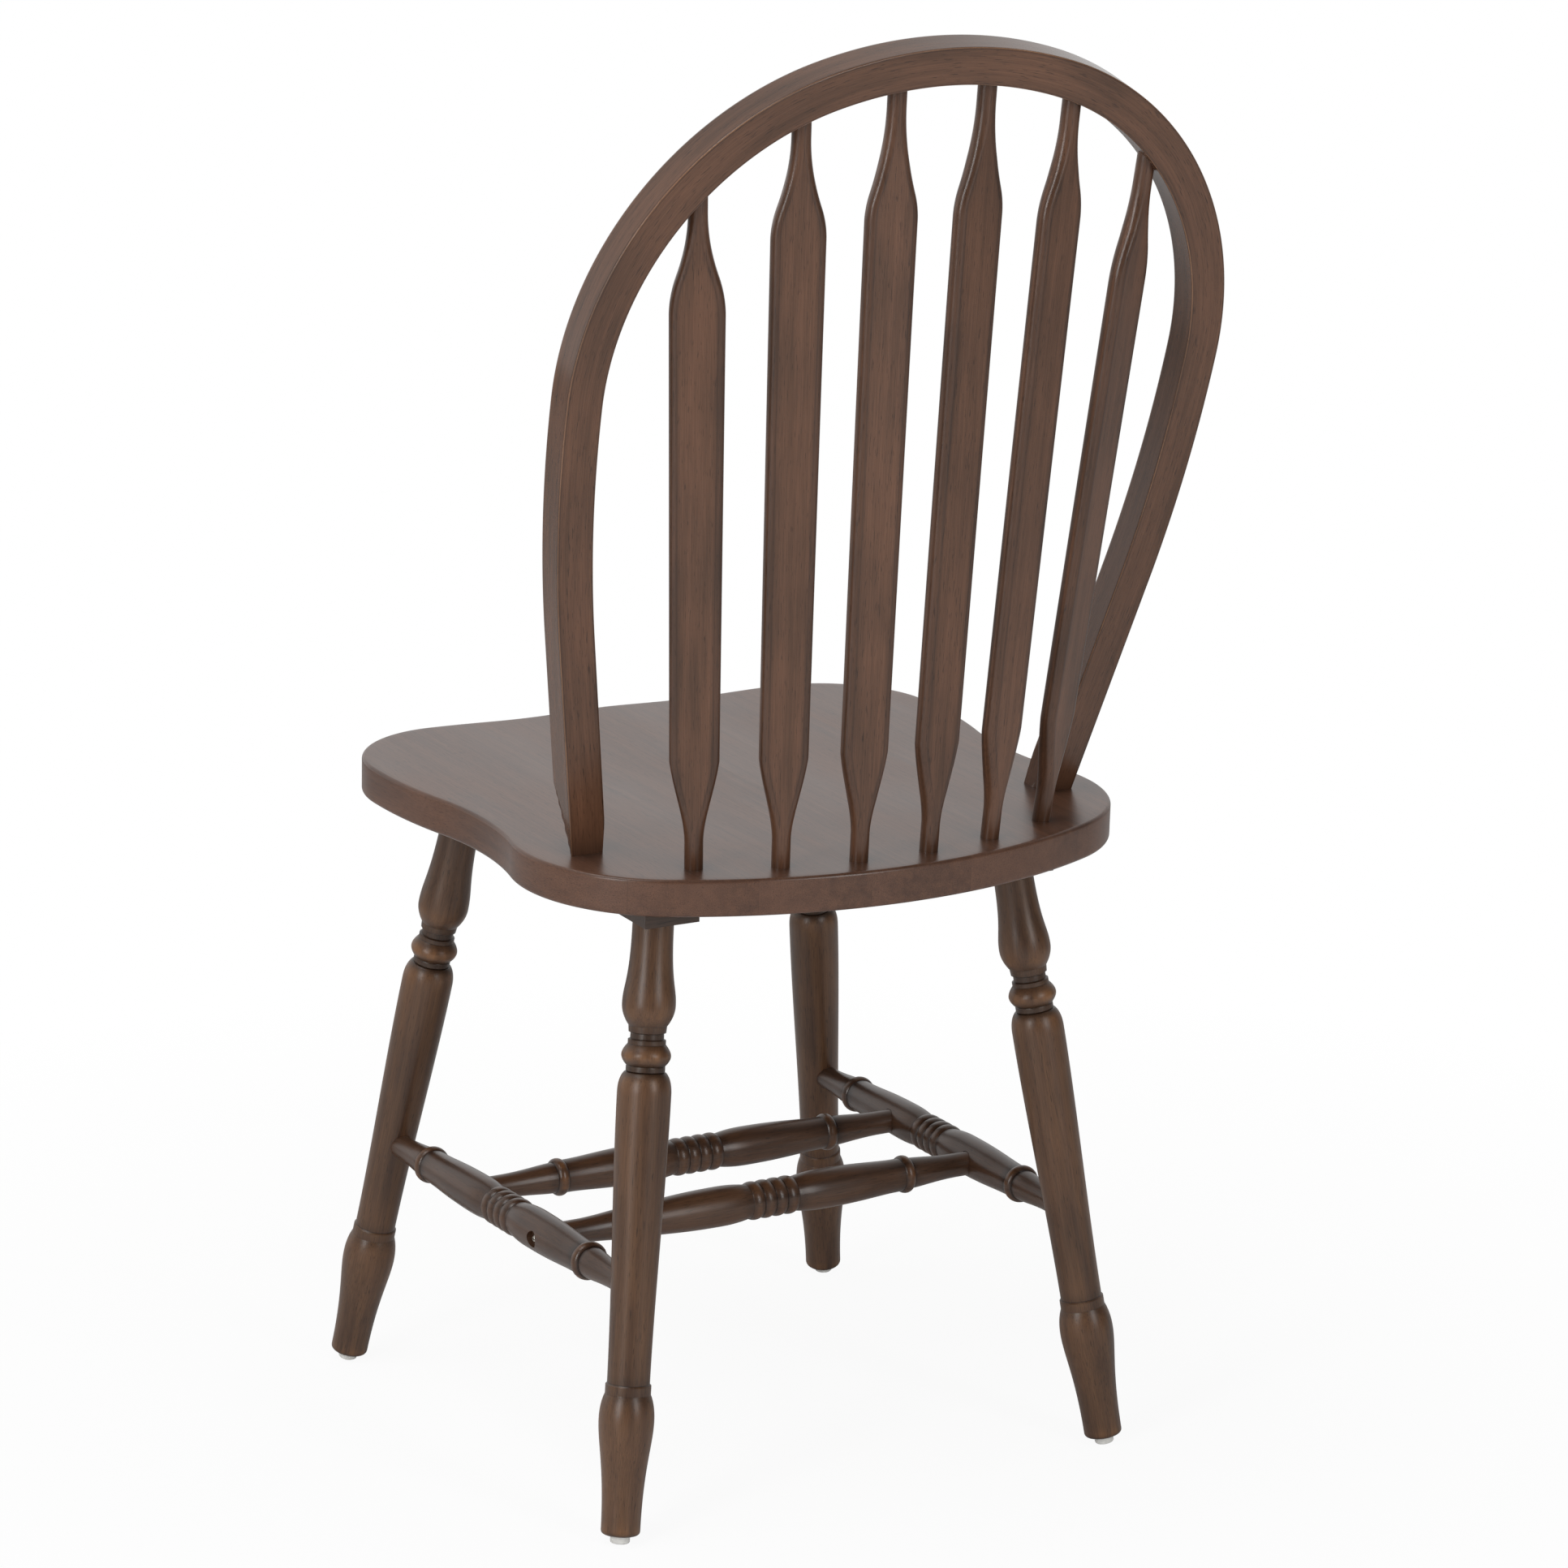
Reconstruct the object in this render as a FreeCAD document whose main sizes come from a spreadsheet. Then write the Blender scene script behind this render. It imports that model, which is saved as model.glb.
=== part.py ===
# Arrow-back side chair in turned and bent wood.
#
# Frame: millimetres, +Z up, the front of the chair towards -Y, the sitter's left towards +X. The floor
# is z = 0, and x = 0 is the plane of symmetry. The left-hand pieces are built, and the right-hand ones
# are their mirror images.

import FreeCAD, Part
import Sketcher
import math
import os
import re
from types import SimpleNamespace

from FreeCAD import Placement, Rotation, Vector

SIZES = {
    # Seat: a board with a waisted outline, highest at its front edge
    "seat_height": 447.6,
    "seat_tilt": 2.4,
    "seat_thickness": 24.6,
    "seat_back_y": 207.2,
    "back_arc_radius": 352.0,
    "back_arc_turn": 25.8,
    "lobe_radius": 103.2,
    "lobe_turn": 78.0,
    "waist_radius": 234.3,
    "waist_turn": 26.3,
    "flank_radius": 355.7,
    "flank_turn": 13.8,
    "corner_radius": 79.4,
    "seat_top_round": 2.4,
    "seat_bottom_round": 2.9,
    # Hoop: a flat bow of nearly square section that leans back
    "hoop_foot_y": 99.1,
    "hoop_lean": 16.3,
    "hoop_rise": 523.2,
    "hoop_width": 24.5,
    "hoop_depth": 23.5,
    "crown_radius": 275.2,
    "crown_turn": 17.3,
    "shoulder_radius": 200.3,
    "shoulder_turn": 74.2,
    "side_radius": 971.5,
    "side_turn": 9.5,
    "hoop_front_round": 3.0,
    "hoop_back_round": 0.8,
    "hoop_relief_height": 52.0,
    "hoop_relief_width": 12.0,
    "hoop_inner_relief_height": 24.0,
    "hoop_inner_relief_width": 2.6,
    "hoop_tenon_diameter": 15.8,
    "hoop_tenon_length": 18.0,
    # Back spindles: flat blades with round necks, set on an arc of the seat
    "spindle_arc_radius": 288.3,
    "spindle_arc_y": -105.0,
    "spindle_spacing": 51.6,
    "spindle_top_spacing": 63.8,
    "spindle_neck": 12.0,
    "spindle_tenon_length": 14.0,
    "blade_width": 34.4,
    "blade_low_width": 31.5,
    "blade_thickness": 11.0,
    "blade_rounding_share": 0.44,
    "blade_start": 73.0,
    "blade_end_inner": 413.7,
    "blade_end_middle": 405.9,
    "blade_end_outer": 363.0,
    "neck_low_length": 19.0,
    "neck_top_length": 13.0,
    "shoulder_bend_inner": 0.76,
    "shoulder_bend_middle": 0.68,
    "shoulder_bend_outer": 0.62,
    # Legs: where their axes meet the floor and the underside of the seat
    "front_foot_x": 194.3,
    "front_foot_y": -238.3,
    "front_top_x": 132.6,
    "front_top_y": -158.5,
    "rear_foot_x": 185.6,
    "rear_foot_y": 158.5,
    "rear_top_x": 131.9,
    "rear_top_y": 107.2,
    "leg_end_height": 5.9,
    "leg_tenon_length": 13.0,
    # Turning of the legs: diameters, two heights as shares of the seat's height, and the steps up
    # from one mark to the next
    "toe_diameter": 25.5,
    "toe_round": 2.8,
    "bulb_share": 0.1671,
    "bulb_diameter": 35.9,
    "collar_step": 16.9,
    "collar_width": 6.0,
    "collar_edge": 1.0,
    "collar_diameter": 29.7,
    "shaft_low_diameter": 27.7,
    "shaft_share": 0.6399,
    "shaft_diameter": 34.9,
    "groove_step": 15.9,
    "groove_diameter": 25.1,
    "bead_step": 8.5,
    "bead_diameter": 32.0,
    "fillet_step": 8.8,
    "fillet_diameter": 24.7,
    "cove_step": 3.2,
    "cove_diameter": 21.7,
    "vase_step": 20.2,
    "vase_diameter": 34.5,
    "leg_top_margin": 6.0,
    "leg_top_diameter": 26.6,
    # Glides on the feet, and their nails
    "glide_thickness": 5.6,
    "glide_diameter": 12.8,
    "glide_round": 1.6,
    "nail_head_depth": 2.4,
    "nail_head_diameter": 6.0,
    "nail_head_thickness": 1.0,
    "nail_diameter": 2.0,
    "nail_length": 14.0,
    # Blocks under the seat, and their screws
    "block_width": 39.0,
    "block_length": 49.0,
    "block_thickness": 18.4,
    "block_screw_x": 12.5,
    "block_screw_y": 18.0,
    "block_screw_head": 8.0,
    "block_screw_diameter": 4.0,
    "block_screw_length": 31.0,
    # Stretchers: their places, then the turning that they share
    "stretcher_front_z": 165.2,
    "stretcher_rear_z": 163.8,
    "cross_front_y": -83.5,
    "cross_rear_y": 23.0,
    "stretcher_tenon_diameter": 16.4,
    "stretcher_tenon_reach": 3.5,
    "stretcher_neck_end": 20.0,
    "side_ring_inset": 59.6,
    "cross_ring_x": 105.6,
    "ring_width": 7.8,
    "ring_diameter": 26.0,
    "ring_neck_diameter": 21.0,
    "barrel_end_diameter": 22.6,
    "barrel_diameter": 27.2,
    "barrel_peak": 22.0,
    "reed_pitch": 8.8,
    "reed_diameter": 26.2,
    "reed_valley_diameter": 23.4,
    # Screws through the side stretchers into the rear cross stretcher
    "stretcher_screw_head": 5.6,
    "stretcher_screw_head_height": 2.0,
    "stretcher_screw_diameter": 3.2,
    "stretcher_screw_length": 34.0,
    "screw_recess_diameter": 11.2,
    "screw_floor_offset": 9.6,
    "screw_slot_width": 0.8,
    "screw_slot_length": 3.8,
    "screw_slot_depth": 1.0,
    # Clearance of every tenon, nail and screw in its hole, all round and at its end
    "fit_gap": 0.25,
}

# Reeds turned at the middle of each stretcher
REED_COUNT = 4

# Share of the way to the next pole at a corner of a turned profile
CORNER_REACH = 0.2

doc = FreeCAD.newDocument("arrow_back_chair")
sheet = doc.addObject("Spreadsheet::Sheet", "Sizes")
for row, (alias, value) in enumerate(SIZES.items(), start=1):
    sheet.set(f"A{row}", alias)
    sheet.set(f"B{row}", str(value))
    sheet.setAlias(f"B{row}", alias)
doc.recompute()
mm = SimpleNamespace(**{alias: float(sheet.get(alias)) for alias in SIZES})


# Helpers for formulas, sketches and booleans

def formula(text):
    """Turn size names in a formula into references to the sheet."""
    return re.sub(r"[a-z]\w*", lambda word: f"Sizes.{word.group()}", str(text))


def number(text):
    """Value of a formula of size names."""
    return float(sheet.evalExpression(formula(text)))


def bind(obj, **formulas):
    for prop, text in formulas.items():
        obj.setExpression(prop, formula(text))


def sketch_on(body, role, name):
    plane = next(item for item in body.Origin.OriginFeatures if item.Role == role)
    sketch = body.newObject("Sketcher::SketchObject", name)
    sketch.AttachmentSupport = [(plane, "")]
    sketch.MapMode = "FlatFace"
    return sketch


def joined(name, objects):
    """One object from several; overlapping ones merge."""
    fuse = doc.addObject("Part::MultiFuse", name)
    fuse.Shapes = objects
    return fuse


def less(name, base, tools):
    """The base with the tools cut away."""
    cut = doc.addObject("Part::Cut", name)
    cut.Base = base
    cut.Tool = joined(name + "_tools", tools) if len(tools) > 1 else tools[0]
    return cut


def mirror(name, source):
    """The right-hand twin of a left-hand piece."""
    twin = doc.addObject("Part::Mirroring", name)
    twin.Source = source
    twin.Normal = Vector(1, 0, 0)
    return twin


def group(name, objects):
    """Several separate solids in one object."""
    compound = doc.addObject("Part::Compound", name)
    compound.Links = objects
    return compound


def along(start, end):
    """Placement with its origin at start and its Z axis towards end."""
    return Placement(start, Rotation(Vector(0, 0, 1), end - start))


def rod(name, diameter, start, end):
    """Cylinder between two points, its diameter tied to a formula."""
    cylinder = doc.addObject("Part::Cylinder", name)
    bind(cylinder, Radius=f"({diameter}) / 2")
    cylinder.Height = start.distanceToPoint(end)
    cylinder.Placement = along(start, end)
    return cylinder


def socket(name, diameter, start, end):
    """Hole for a rod between two points: wider and deeper than it by the clearance."""
    deeper = end + (end - start).normalize() * mm.fit_gap
    return rod(name, f"{diameter} + 2 * fit_gap", start, deeper)


def box(name, width, length, height, placement):
    """Box centred on its placement in X and Y, and rising from it in Z."""
    block = doc.addObject("Part::Box", name)
    bind(block, Width=length, Length=width, Height=height)
    corner = Vector(-number(width) / 2, -number(length) / 2, 0)
    block.Placement = placement * Placement(corner, Rotation())
    return block


def turned(name, stations, placement):
    """Round piece whose profile passes through stations up its axis.

    A station is (height, diameter, reach before, reach after), its first two as formulas. Between two
    stations the profile leaves and arrives along the axis for these shares of the height between
    them. Where one is zero, that end starts straight towards the other's reach; where both are, the
    whole is straight.
    """
    body = doc.addObject("PartDesign::Body", name)
    body.Placement = placement
    sketch = sketch_on(body, "XZ_Plane", name + "_profile")
    points = [Vector(number(d) / 2, number(z), 0) for z, d, _, _ in stations]
    foot = Vector(0, points[0].y, 0)
    head = Vector(0, points[-1].y, 0)
    sketch.addGeometry(Part.LineSegment(foot, points[0]))
    for start, end, first, second in zip(points, points[1:], stations, stations[1:]):
        if first[3] or second[2]:
            rise = Vector(0, end.y - start.y, 0)
            leaving = start + rise * first[3]
            arriving = end - rise * second[2]
            if not first[3]:
                leaving = start + (arriving - start) * CORNER_REACH
            if not second[2]:
                arriving = end + (leaving - end) * CORNER_REACH
            curve = Part.BezierCurve()
            curve.setPoles([start, leaving, arriving, end])
            sketch.addGeometry(curve.toBSpline())
        else:
            sketch.addGeometry(Part.LineSegment(start, end))
    sketch.addGeometry(Part.LineSegment(points[-1], head))
    sketch.addGeometry(Part.LineSegment(head, foot))
    last = sketch.GeometryCount - 1
    for index in range(last + 1):
        sketch.addConstraint(Sketcher.Constraint("Coincident", index, 2, (index + 1) % (last + 1), 1))
    sketch.addConstraint(Sketcher.Constraint("PointOnObject", last, 1, -2))
    sketch.addConstraint(Sketcher.Constraint("PointOnObject", last, 2, -2))
    sketch.addConstraint(Sketcher.Constraint("Horizontal", 0))
    sketch.addConstraint(Sketcher.Constraint("Horizontal", last - 1))
    for index, (point, station) in enumerate(zip(points, stations)):
        radius = sketch.addConstraint(Sketcher.Constraint("DistanceX", -1, 1, index, 2, point.x))
        sketch.setExpression(f"Constraints[{radius}]", formula(f"({station[1]}) / 2"))
        if point.y > 0:
            height = sketch.addConstraint(Sketcher.Constraint("DistanceY", -1, 1, index, 2, point.y))
            sketch.setExpression(f"Constraints[{height}]", formula(station[0]))
        else:
            sketch.addConstraint(Sketcher.Constraint("PointOnObject", index, 2, -1))
    turning = body.newObject("PartDesign::Revolution", name + "_turning")
    turning.Profile = sketch
    turning.ReferenceAxis = (sketch, ["V_Axis"])
    turning.Angle = 360
    return body


def tangent_chain(start, heading, moves, offset=0.0):
    """Arcs and lines that run on smoothly from each other in a plane.

    A move is (radius, degrees of turn to the right), or (None, length) for a line. The offset shifts
    the whole chain to its left. Returns the edges, the last point and the last heading in radians.
    """
    place = Vector(*start, 0)
    angle = math.radians(heading)
    edges = []
    for radius, amount in moves:
        left = Vector(-math.sin(angle), math.cos(angle), 0)
        if radius is None:
            end = place + Vector(math.cos(angle), math.sin(angle), 0) * amount
            edges.append(Part.LineSegment(place + left * offset, end + left * offset))
            place = end
            continue
        turn = math.radians(amount)
        side = math.copysign(1.0, turn)
        centre = place - left * side * radius
        first = angle + side * math.pi / 2
        edges.append(arc(centre, radius + side * offset, first, first - turn))
        angle -= turn
        place = centre + Vector(-math.sin(angle), math.cos(angle), 0) * side * radius
    return edges, place, angle


def arc(centre, radius, first, last):
    """Arc between two directions in radians, given in either order."""
    low, high = sorted((first, last))
    return Part.ArcOfCircle(Part.Circle(centre, Vector(0, 0, 1), radius), low, high)


def across(edge):
    """The same edge on the other side of the plane of symmetry."""
    if isinstance(edge, Part.LineSegment):
        return Part.LineSegment(*(Vector(-end.x, end.y, 0) for end in (edge.StartPoint, edge.EndPoint)))
    centre = Vector(-edge.Center.x, edge.Center.y, 0)
    return arc(centre, edge.Radius, math.pi - edge.FirstParameter, math.pi - edge.LastParameter)


def rounded(body, name, radius, level, skip=lambda edge: False):
    """Fillet the edges of the last feature that lie at one level of the body."""
    doc.recompute()
    base = body.Tip
    edges = [
        f"Edge{index}"
        for index, edge in enumerate(base.Shape.Edges, start=1)
        if all(abs(vertex.Z - level) < 1e-4 for vertex in edge.Vertexes) and not skip(edge)
    ]
    fillet = body.newObject("PartDesign::Fillet", name)
    fillet.Base = (base, edges)
    bind(fillet, Radius=radius)


# Seat: its frame lies on the top face, tilted down towards the back

seat_frame = Placement(Vector(0, 0, mm.seat_height), Rotation(Vector(1, 0, 0), -mm.seat_tilt))
TILT = math.radians(mm.seat_tilt)


def seat_point(x, y, below=0.0):
    """Point over x, y on the top of the seat, or on a face parallel to it further down."""
    return Vector(x, y, mm.seat_height - y * math.tan(TILT) - below / math.cos(TILT))


def seat_board():
    body = doc.addObject("PartDesign::Body", "seat_board")
    body.Placement = seat_frame
    corner_turn = 180 - mm.back_arc_turn - mm.lobe_turn + mm.waist_turn - mm.flank_turn
    half, front, _ = tangent_chain(
        (0, mm.seat_back_y),
        0,
        [
            (mm.back_arc_radius, mm.back_arc_turn),
            (mm.lobe_radius, mm.lobe_turn),
            (mm.waist_radius, -mm.waist_turn),
            (mm.flank_radius, mm.flank_turn),
            (mm.corner_radius, corner_turn),
        ],
    )
    sketch = sketch_on(body, "XY_Plane", "seat_outline")
    straight = Part.LineSegment(front, Vector(-front.x, front.y, 0))
    sketch.addGeometry([*half, *map(across, half), straight])
    pad = body.newObject("PartDesign::Pad", "seat_pad")
    pad.Profile = sketch
    pad.Reversed = True
    bind(pad, Length="seat_thickness")
    rounded(body, "seat_top_edge", "seat_top_round", 0)
    rounded(body, "seat_bottom_edge", "seat_bottom_round", -mm.seat_thickness)
    return body


# Hoop: its frame has X across the chair, Y up the leaning back and Z towards the front, with its
# origin where the back face of the bow meets the top of the seat

hoop_frame = Placement(seat_point(0, mm.hoop_foot_y), Rotation(Vector(1, 0, 0), 90 - mm.hoop_lean))
BOW = [
    (mm.crown_radius, mm.crown_turn),
    (mm.shoulder_radius, mm.shoulder_turn),
    (mm.side_radius, mm.side_turn),
]
_, bow_end, bow_heading = tangent_chain((0, mm.hoop_rise), 0, BOW)
bow_down = Vector(math.cos(bow_heading), math.sin(bow_heading), 0)
bow_outward = Vector(-bow_down.y, bow_down.x, 0)
bow_foot = bow_end - bow_down * (bow_end.y / bow_down.y)


def bow_edges(offset, extra):
    """Edges of the bow, shifted outwards, from its crown to past the seat on the left."""
    straight = bow_end.distanceToPoint(bow_foot) + extra
    edges, _, _ = tangent_chain((0, mm.hoop_rise), 0, [*BOW, (None, straight)], offset)
    return edges


def hoop_bow():
    body = doc.addObject("PartDesign::Body", "hoop_bow")
    body.Placement = hoop_frame
    extra = mm.hoop_depth
    outer = bow_edges(mm.hoop_width / 2, extra)
    inner = bow_edges(-mm.hoop_width / 2, extra)
    end = Part.LineSegment(outer[-1].EndPoint, inner[-1].EndPoint)
    half = [*outer, *inner, end]
    sketch = sketch_on(body, "XY_Plane", "hoop_outline")
    sketch.addGeometry([*half, *map(across, half)])
    pad = body.newObject("PartDesign::Pad", "hoop_pad")
    pad.Profile = sketch
    bind(pad, Length="hoop_depth")

    def at_foot(edge):
        return all(vertex.Y < -extra / 2 for vertex in edge.Vertexes)

    rounded(body, "hoop_front_edges", "hoop_front_round", mm.hoop_depth, at_foot)
    rounded(body, "hoop_back_edges", "hoop_back_round", 0, at_foot)
    return body


def planed_off(name, corners, way):
    """Block beyond three corners of the foot, on the side of the bow that faces the given way."""
    first, second, third = (hoop_frame.multVec(corner) for corner in corners)
    normal = (second - first).cross(third - first)
    if normal.x * way < 0:
        normal = -normal
    facing = Placement(first, Rotation(Vector(0, 0, 1), normal))
    return box(name, "6 * hoop_width", "6 * hoop_width", "hoop_width", facing)


def foot_reliefs():
    """Blocks that plane the left foot of the bow: off its outer front corner and its inner side."""
    side = bow_outward * (mm.hoop_width / 2)
    depth = Vector(0, 0, mm.hoop_depth)
    outer = bow_foot + side
    front = outer + depth - bow_outward * mm.hoop_relief_width
    outer_corners = [outer - bow_down * mm.hoop_relief_height + depth, outer, front]
    inner_top = bow_foot - side - bow_down * mm.hoop_inner_relief_height
    inner_foot = bow_foot - side + bow_outward * mm.hoop_inner_relief_width
    return [
        planed_off("outer_relief", outer_corners, 1),
        planed_off("inner_relief", [inner_top, inner_top + depth, inner_foot], -1),
    ]


def hoop_tenon_ends():
    """Axis of the left tenon of the hoop: from inside its foot to its end in the seat."""
    shift = mm.hoop_inner_relief_width / 2 - mm.hoop_relief_width / 4
    middle = bow_foot + Vector(0, 0, mm.hoop_depth / 2) + bow_outward * shift
    start = middle - bow_down * mm.hoop_depth
    end = middle + bow_down * mm.hoop_tenon_length
    return hoop_frame.multVec(start), hoop_frame.multVec(end)


# Spindles: one of each pair is built on the left. Pair 0 is the innermost

BLADE_ENDS = ["blade_end_inner", "blade_end_middle", "blade_end_outer"]
SHOULDER_BENDS = ["shoulder_bend_inner", "shoulder_bend_middle", "shoulder_bend_outer"]


def spindle_ends(pair):
    """Where a spindle meets the top of the seat and the inner face of the hoop."""
    x = mm.spindle_spacing * (pair + 0.5)
    y = mm.spindle_arc_y + math.sqrt(mm.spindle_arc_radius**2 - x**2)
    top_x = mm.spindle_top_spacing * (pair + 0.5)
    upright = Part.LineSegment(Vector(top_x, mm.hoop_rise / 2, 0), Vector(top_x, mm.hoop_rise, 0))
    inner_face = Part.Compound([edge.toShape() for edge in bow_edges(-mm.hoop_width / 2, 0)])
    meeting = upright.toShape().distToShape(inner_face)[1][0][1]
    top = hoop_frame.multVec(meeting + Vector(0, 0, mm.hoop_depth / 2))
    return seat_point(x, y), top


def swell(step):
    """Smooth rise from 0 to 1."""
    return (1 - math.cos(math.pi * step)) / 2


def low_shoulder(step):
    """Rise from 0 at the lower neck to 1 at a blade, hollow at first and then with a soft corner."""
    return 0.55 * step**1.35 + 0.45 * swell(step)


def top_shoulder(step, bend):
    """Rise from 0 at the upper neck to 1 at a blade: hollow up to the bend, convex from there."""
    if step < bend:
        return step**2 / bend
    return 1 - (1 - step) ** 2 / (1 - bend)


def rounded_rectangle(width, height, radius):
    """Corner arcs and sides round the origin."""
    right = width / 2
    top = height / 2
    x = right - radius
    y = top - radius
    edges = []
    for quarter, (cx, cy) in enumerate([(x, y), (-x, y), (-x, -y), (x, -y)]):
        start = quarter * math.pi / 2
        edges.append(arc(Vector(cx, cy, 0), radius, start, start + math.pi / 2))
    for ends in [(x, top, -x, top), (-right, y, -right, -y), (-x, -top, x, -top), (right, -y, right, y)]:
        edges.append(Part.LineSegment(Vector(*ends[:2], 0), Vector(*ends[2:], 0)))
    return edges


def spindle(pair):
    bottom, top = spindle_ends(pair)
    length = top.distanceToPoint(bottom)
    name = f"spindle_pair_{pair}"
    body = doc.addObject("PartDesign::Body", name)
    turn = math.asin(bottom.x / mm.spindle_arc_radius)
    broad_side = Vector(math.cos(turn), -math.sin(turn), 0)
    body.Placement = Placement(bottom, Rotation(broad_side, Vector(), top - bottom, "ZXY"))
    blade_end = number(BLADE_ENDS[pair])
    bend = number(SHOULDER_BENDS[pair])
    neck, low, high = mm.spindle_neck, mm.blade_low_width, mm.blade_width
    corner = mm.blade_rounding_share * mm.blade_thickness
    tenon, low_end, top_end = mm.spindle_tenon_length, mm.neck_low_length, mm.neck_top_length
    sections = [(height, neck) for height in (-tenon, -tenon / 2, 0.0, low_end / 3, low_end * 2 / 3)]
    for step in (0.0, 0.25, 0.5, 0.75, 1.0):
        height = mm.neck_low_length + (mm.blade_start - mm.neck_low_length) * step
        sections.append((height, neck + (low - neck) * low_shoulder(step)))
    for step in (swell(index / 8) for index in range(1, 8)):
        height = mm.blade_start + (blade_end - mm.blade_start) * step
        sections.append((height, low + (high - low) * step))
    for step in (1.0, 0.9, 0.8, bend, 0.6, 0.45, 0.3, 0.2, 0.1, 0.0):
        neck_end = length - top_end
        width = neck + (high - neck) * top_shoulder(step, bend)
        sections.append((neck_end + (blade_end - neck_end) * step, width))
    for height in (-top_end * 2 / 3, -top_end / 3, 0.0, tenon / 4, tenon / 2, tenon * 3 / 4, tenon):
        sections.append((length + height, neck))
    profiles = []
    for index, (height, width) in enumerate(sections):
        sketch = sketch_on(body, "XY_Plane", f"{name}_section_{index}")
        sketch.AttachmentOffset = Placement(Vector(0, 0, height), Rotation())
        sketch.addGeometry(rounded_rectangle(width, mm.blade_thickness, corner))
        profiles.append(sketch)
    loft = body.newObject("PartDesign::AdditiveLoft", name + "_loft")
    loft.Profile = profiles[0]
    loft.Sections = profiles[1:]
    return body


# Legs: each axis runs from the floor to the underside of the seat

LEGS = {
    "front": (
        Vector(mm.front_foot_x, mm.front_foot_y, 0),
        seat_point(mm.front_top_x, mm.front_top_y, mm.seat_thickness),
    ),
    "rear": (
        Vector(mm.rear_foot_x, mm.rear_foot_y, 0),
        seat_point(mm.rear_top_x, mm.rear_top_y, mm.seat_thickness),
    ),
}


def leg_point(end, height):
    """Point on the axis of a left leg at a height above the floor."""
    floor, top = LEGS[end]
    return floor + (top - floor) * (height / top.z)


def leg_tenon_end(end):
    floor, top = LEGS[end]
    return top + (top - floor).normalize() * mm.leg_tenon_length


def leg_top_start(end):
    """Where the straight top of a left leg begins, on its axis just below the seat block."""
    floor, top = LEGS[end]
    return top - (top - floor).normalize() * (mm.block_thickness + mm.leg_top_margin)


def leg_blank(end):
    wooden_end = leg_point(end, mm.leg_end_height)
    bulb = "bulb_share * seat_height"
    shaft = "shaft_share * seat_height"
    collar = f"{bulb} + collar_step"
    bead = f"{shaft} + groove_step + bead_step"
    fillet = f"{bead} + fillet_step"
    vase = f"{fillet} + cove_step + vase_step"
    straight = wooden_end.distanceToPoint(leg_top_start(end))
    length = wooden_end.distanceToPoint(leg_tenon_end(end))
    stations = [
        ("0", "toe_diameter - 2 * toe_round", 0, 0),
        ("toe_round", "toe_diameter", 0.8, 0.58),
        (bulb, "bulb_diameter", 0.22, 0.59),
        (collar, "collar_diameter", 0, 0),
        (f"{collar} + collar_width", "collar_diameter", 0, 0),
        (f"{collar} + collar_width + collar_edge", "shaft_low_diameter", 0, 0.32),
        (shaft, "shaft_diameter", 0.32, 0.69),
        (f"{shaft} + groove_step", "groove_diameter", 0, 0),
        (bead, "bead_diameter", 0.29, 0.4),
        (fillet, "fillet_diameter", 0, 0),
        (f"{fillet} + cove_step", "cove_diameter", 0.63, 0.2),
        (vase, "vase_diameter", 0.32, 0.25),
        (str(straight), "leg_top_diameter", 0.73, 0),
        (str(length), "leg_top_diameter", 0, 0),
    ]
    return turned(f"leg_{end}_blank", stations, along(wooden_end, LEGS[end][1]))


# Glides: each is square to its leg and worn flat where it stands on the floor

def glide(end):
    wooden_end = leg_point(end, mm.leg_end_height)
    stations = [
        ("0", "glide_diameter", 0, 0),
        ("glide_thickness - glide_round", "glide_diameter", 0, 0.75),
        ("glide_thickness", "glide_diameter - 2 * glide_round", 0, 0),
    ]
    blank = turned(f"glide_{end}_blank", stations, along(wooden_end, LEGS[end][0]))
    under_floor = Placement(Vector(wooden_end.x, wooden_end.y, -mm.glide_diameter), Rotation())
    size = "2 * glide_diameter"
    floor = box(f"floor_under_{end}", size, size, "glide_diameter", under_floor)
    return less(f"glide_{end}_left", blank, [floor, glide_nail(end, "pocket", "2 * fit_gap")])


def glide_nail(end, name, extra="0"):
    """Nail from inside the glide up into the leg, or with extra diameter the hole that it needs."""
    wooden_end = leg_point(end, mm.leg_end_height)
    up = (LEGS[end][1] - wooden_end).normalize()
    head = wooden_end - up * (mm.nail_head_depth + number(extra) / 2)
    stations = [
        ("0", f"nail_head_diameter + {extra}", 0, 0),
        (f"nail_head_thickness + {extra}", f"nail_head_diameter + {extra}", 0, 0),
        (f"nail_head_thickness + {extra}", f"nail_diameter + {extra}", 0, 0),
        (f"nail_length + {extra}", f"nail_diameter + {extra}", 0, 0),
    ]
    return turned(f"nail_{end}_{name}", stations, along(head, LEGS[end][1]))


# Seat blocks: squared up with the seat, against its underside, with two screws each

BLOCK_SCREWS = [(1, -1), (-1, 1)]


def block_frame(end):
    """Frame of a left block: centred on the leg's axis, at the underside of the block."""
    floor, top = LEGS[end]
    up = (top - floor).normalize()
    middle = seat_frame.inverse().multVec(top - up * (mm.block_thickness / 2))
    drop = mm.seat_thickness + mm.block_thickness
    return seat_frame * Placement(Vector(middle.x, middle.y, -drop), Rotation())


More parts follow.
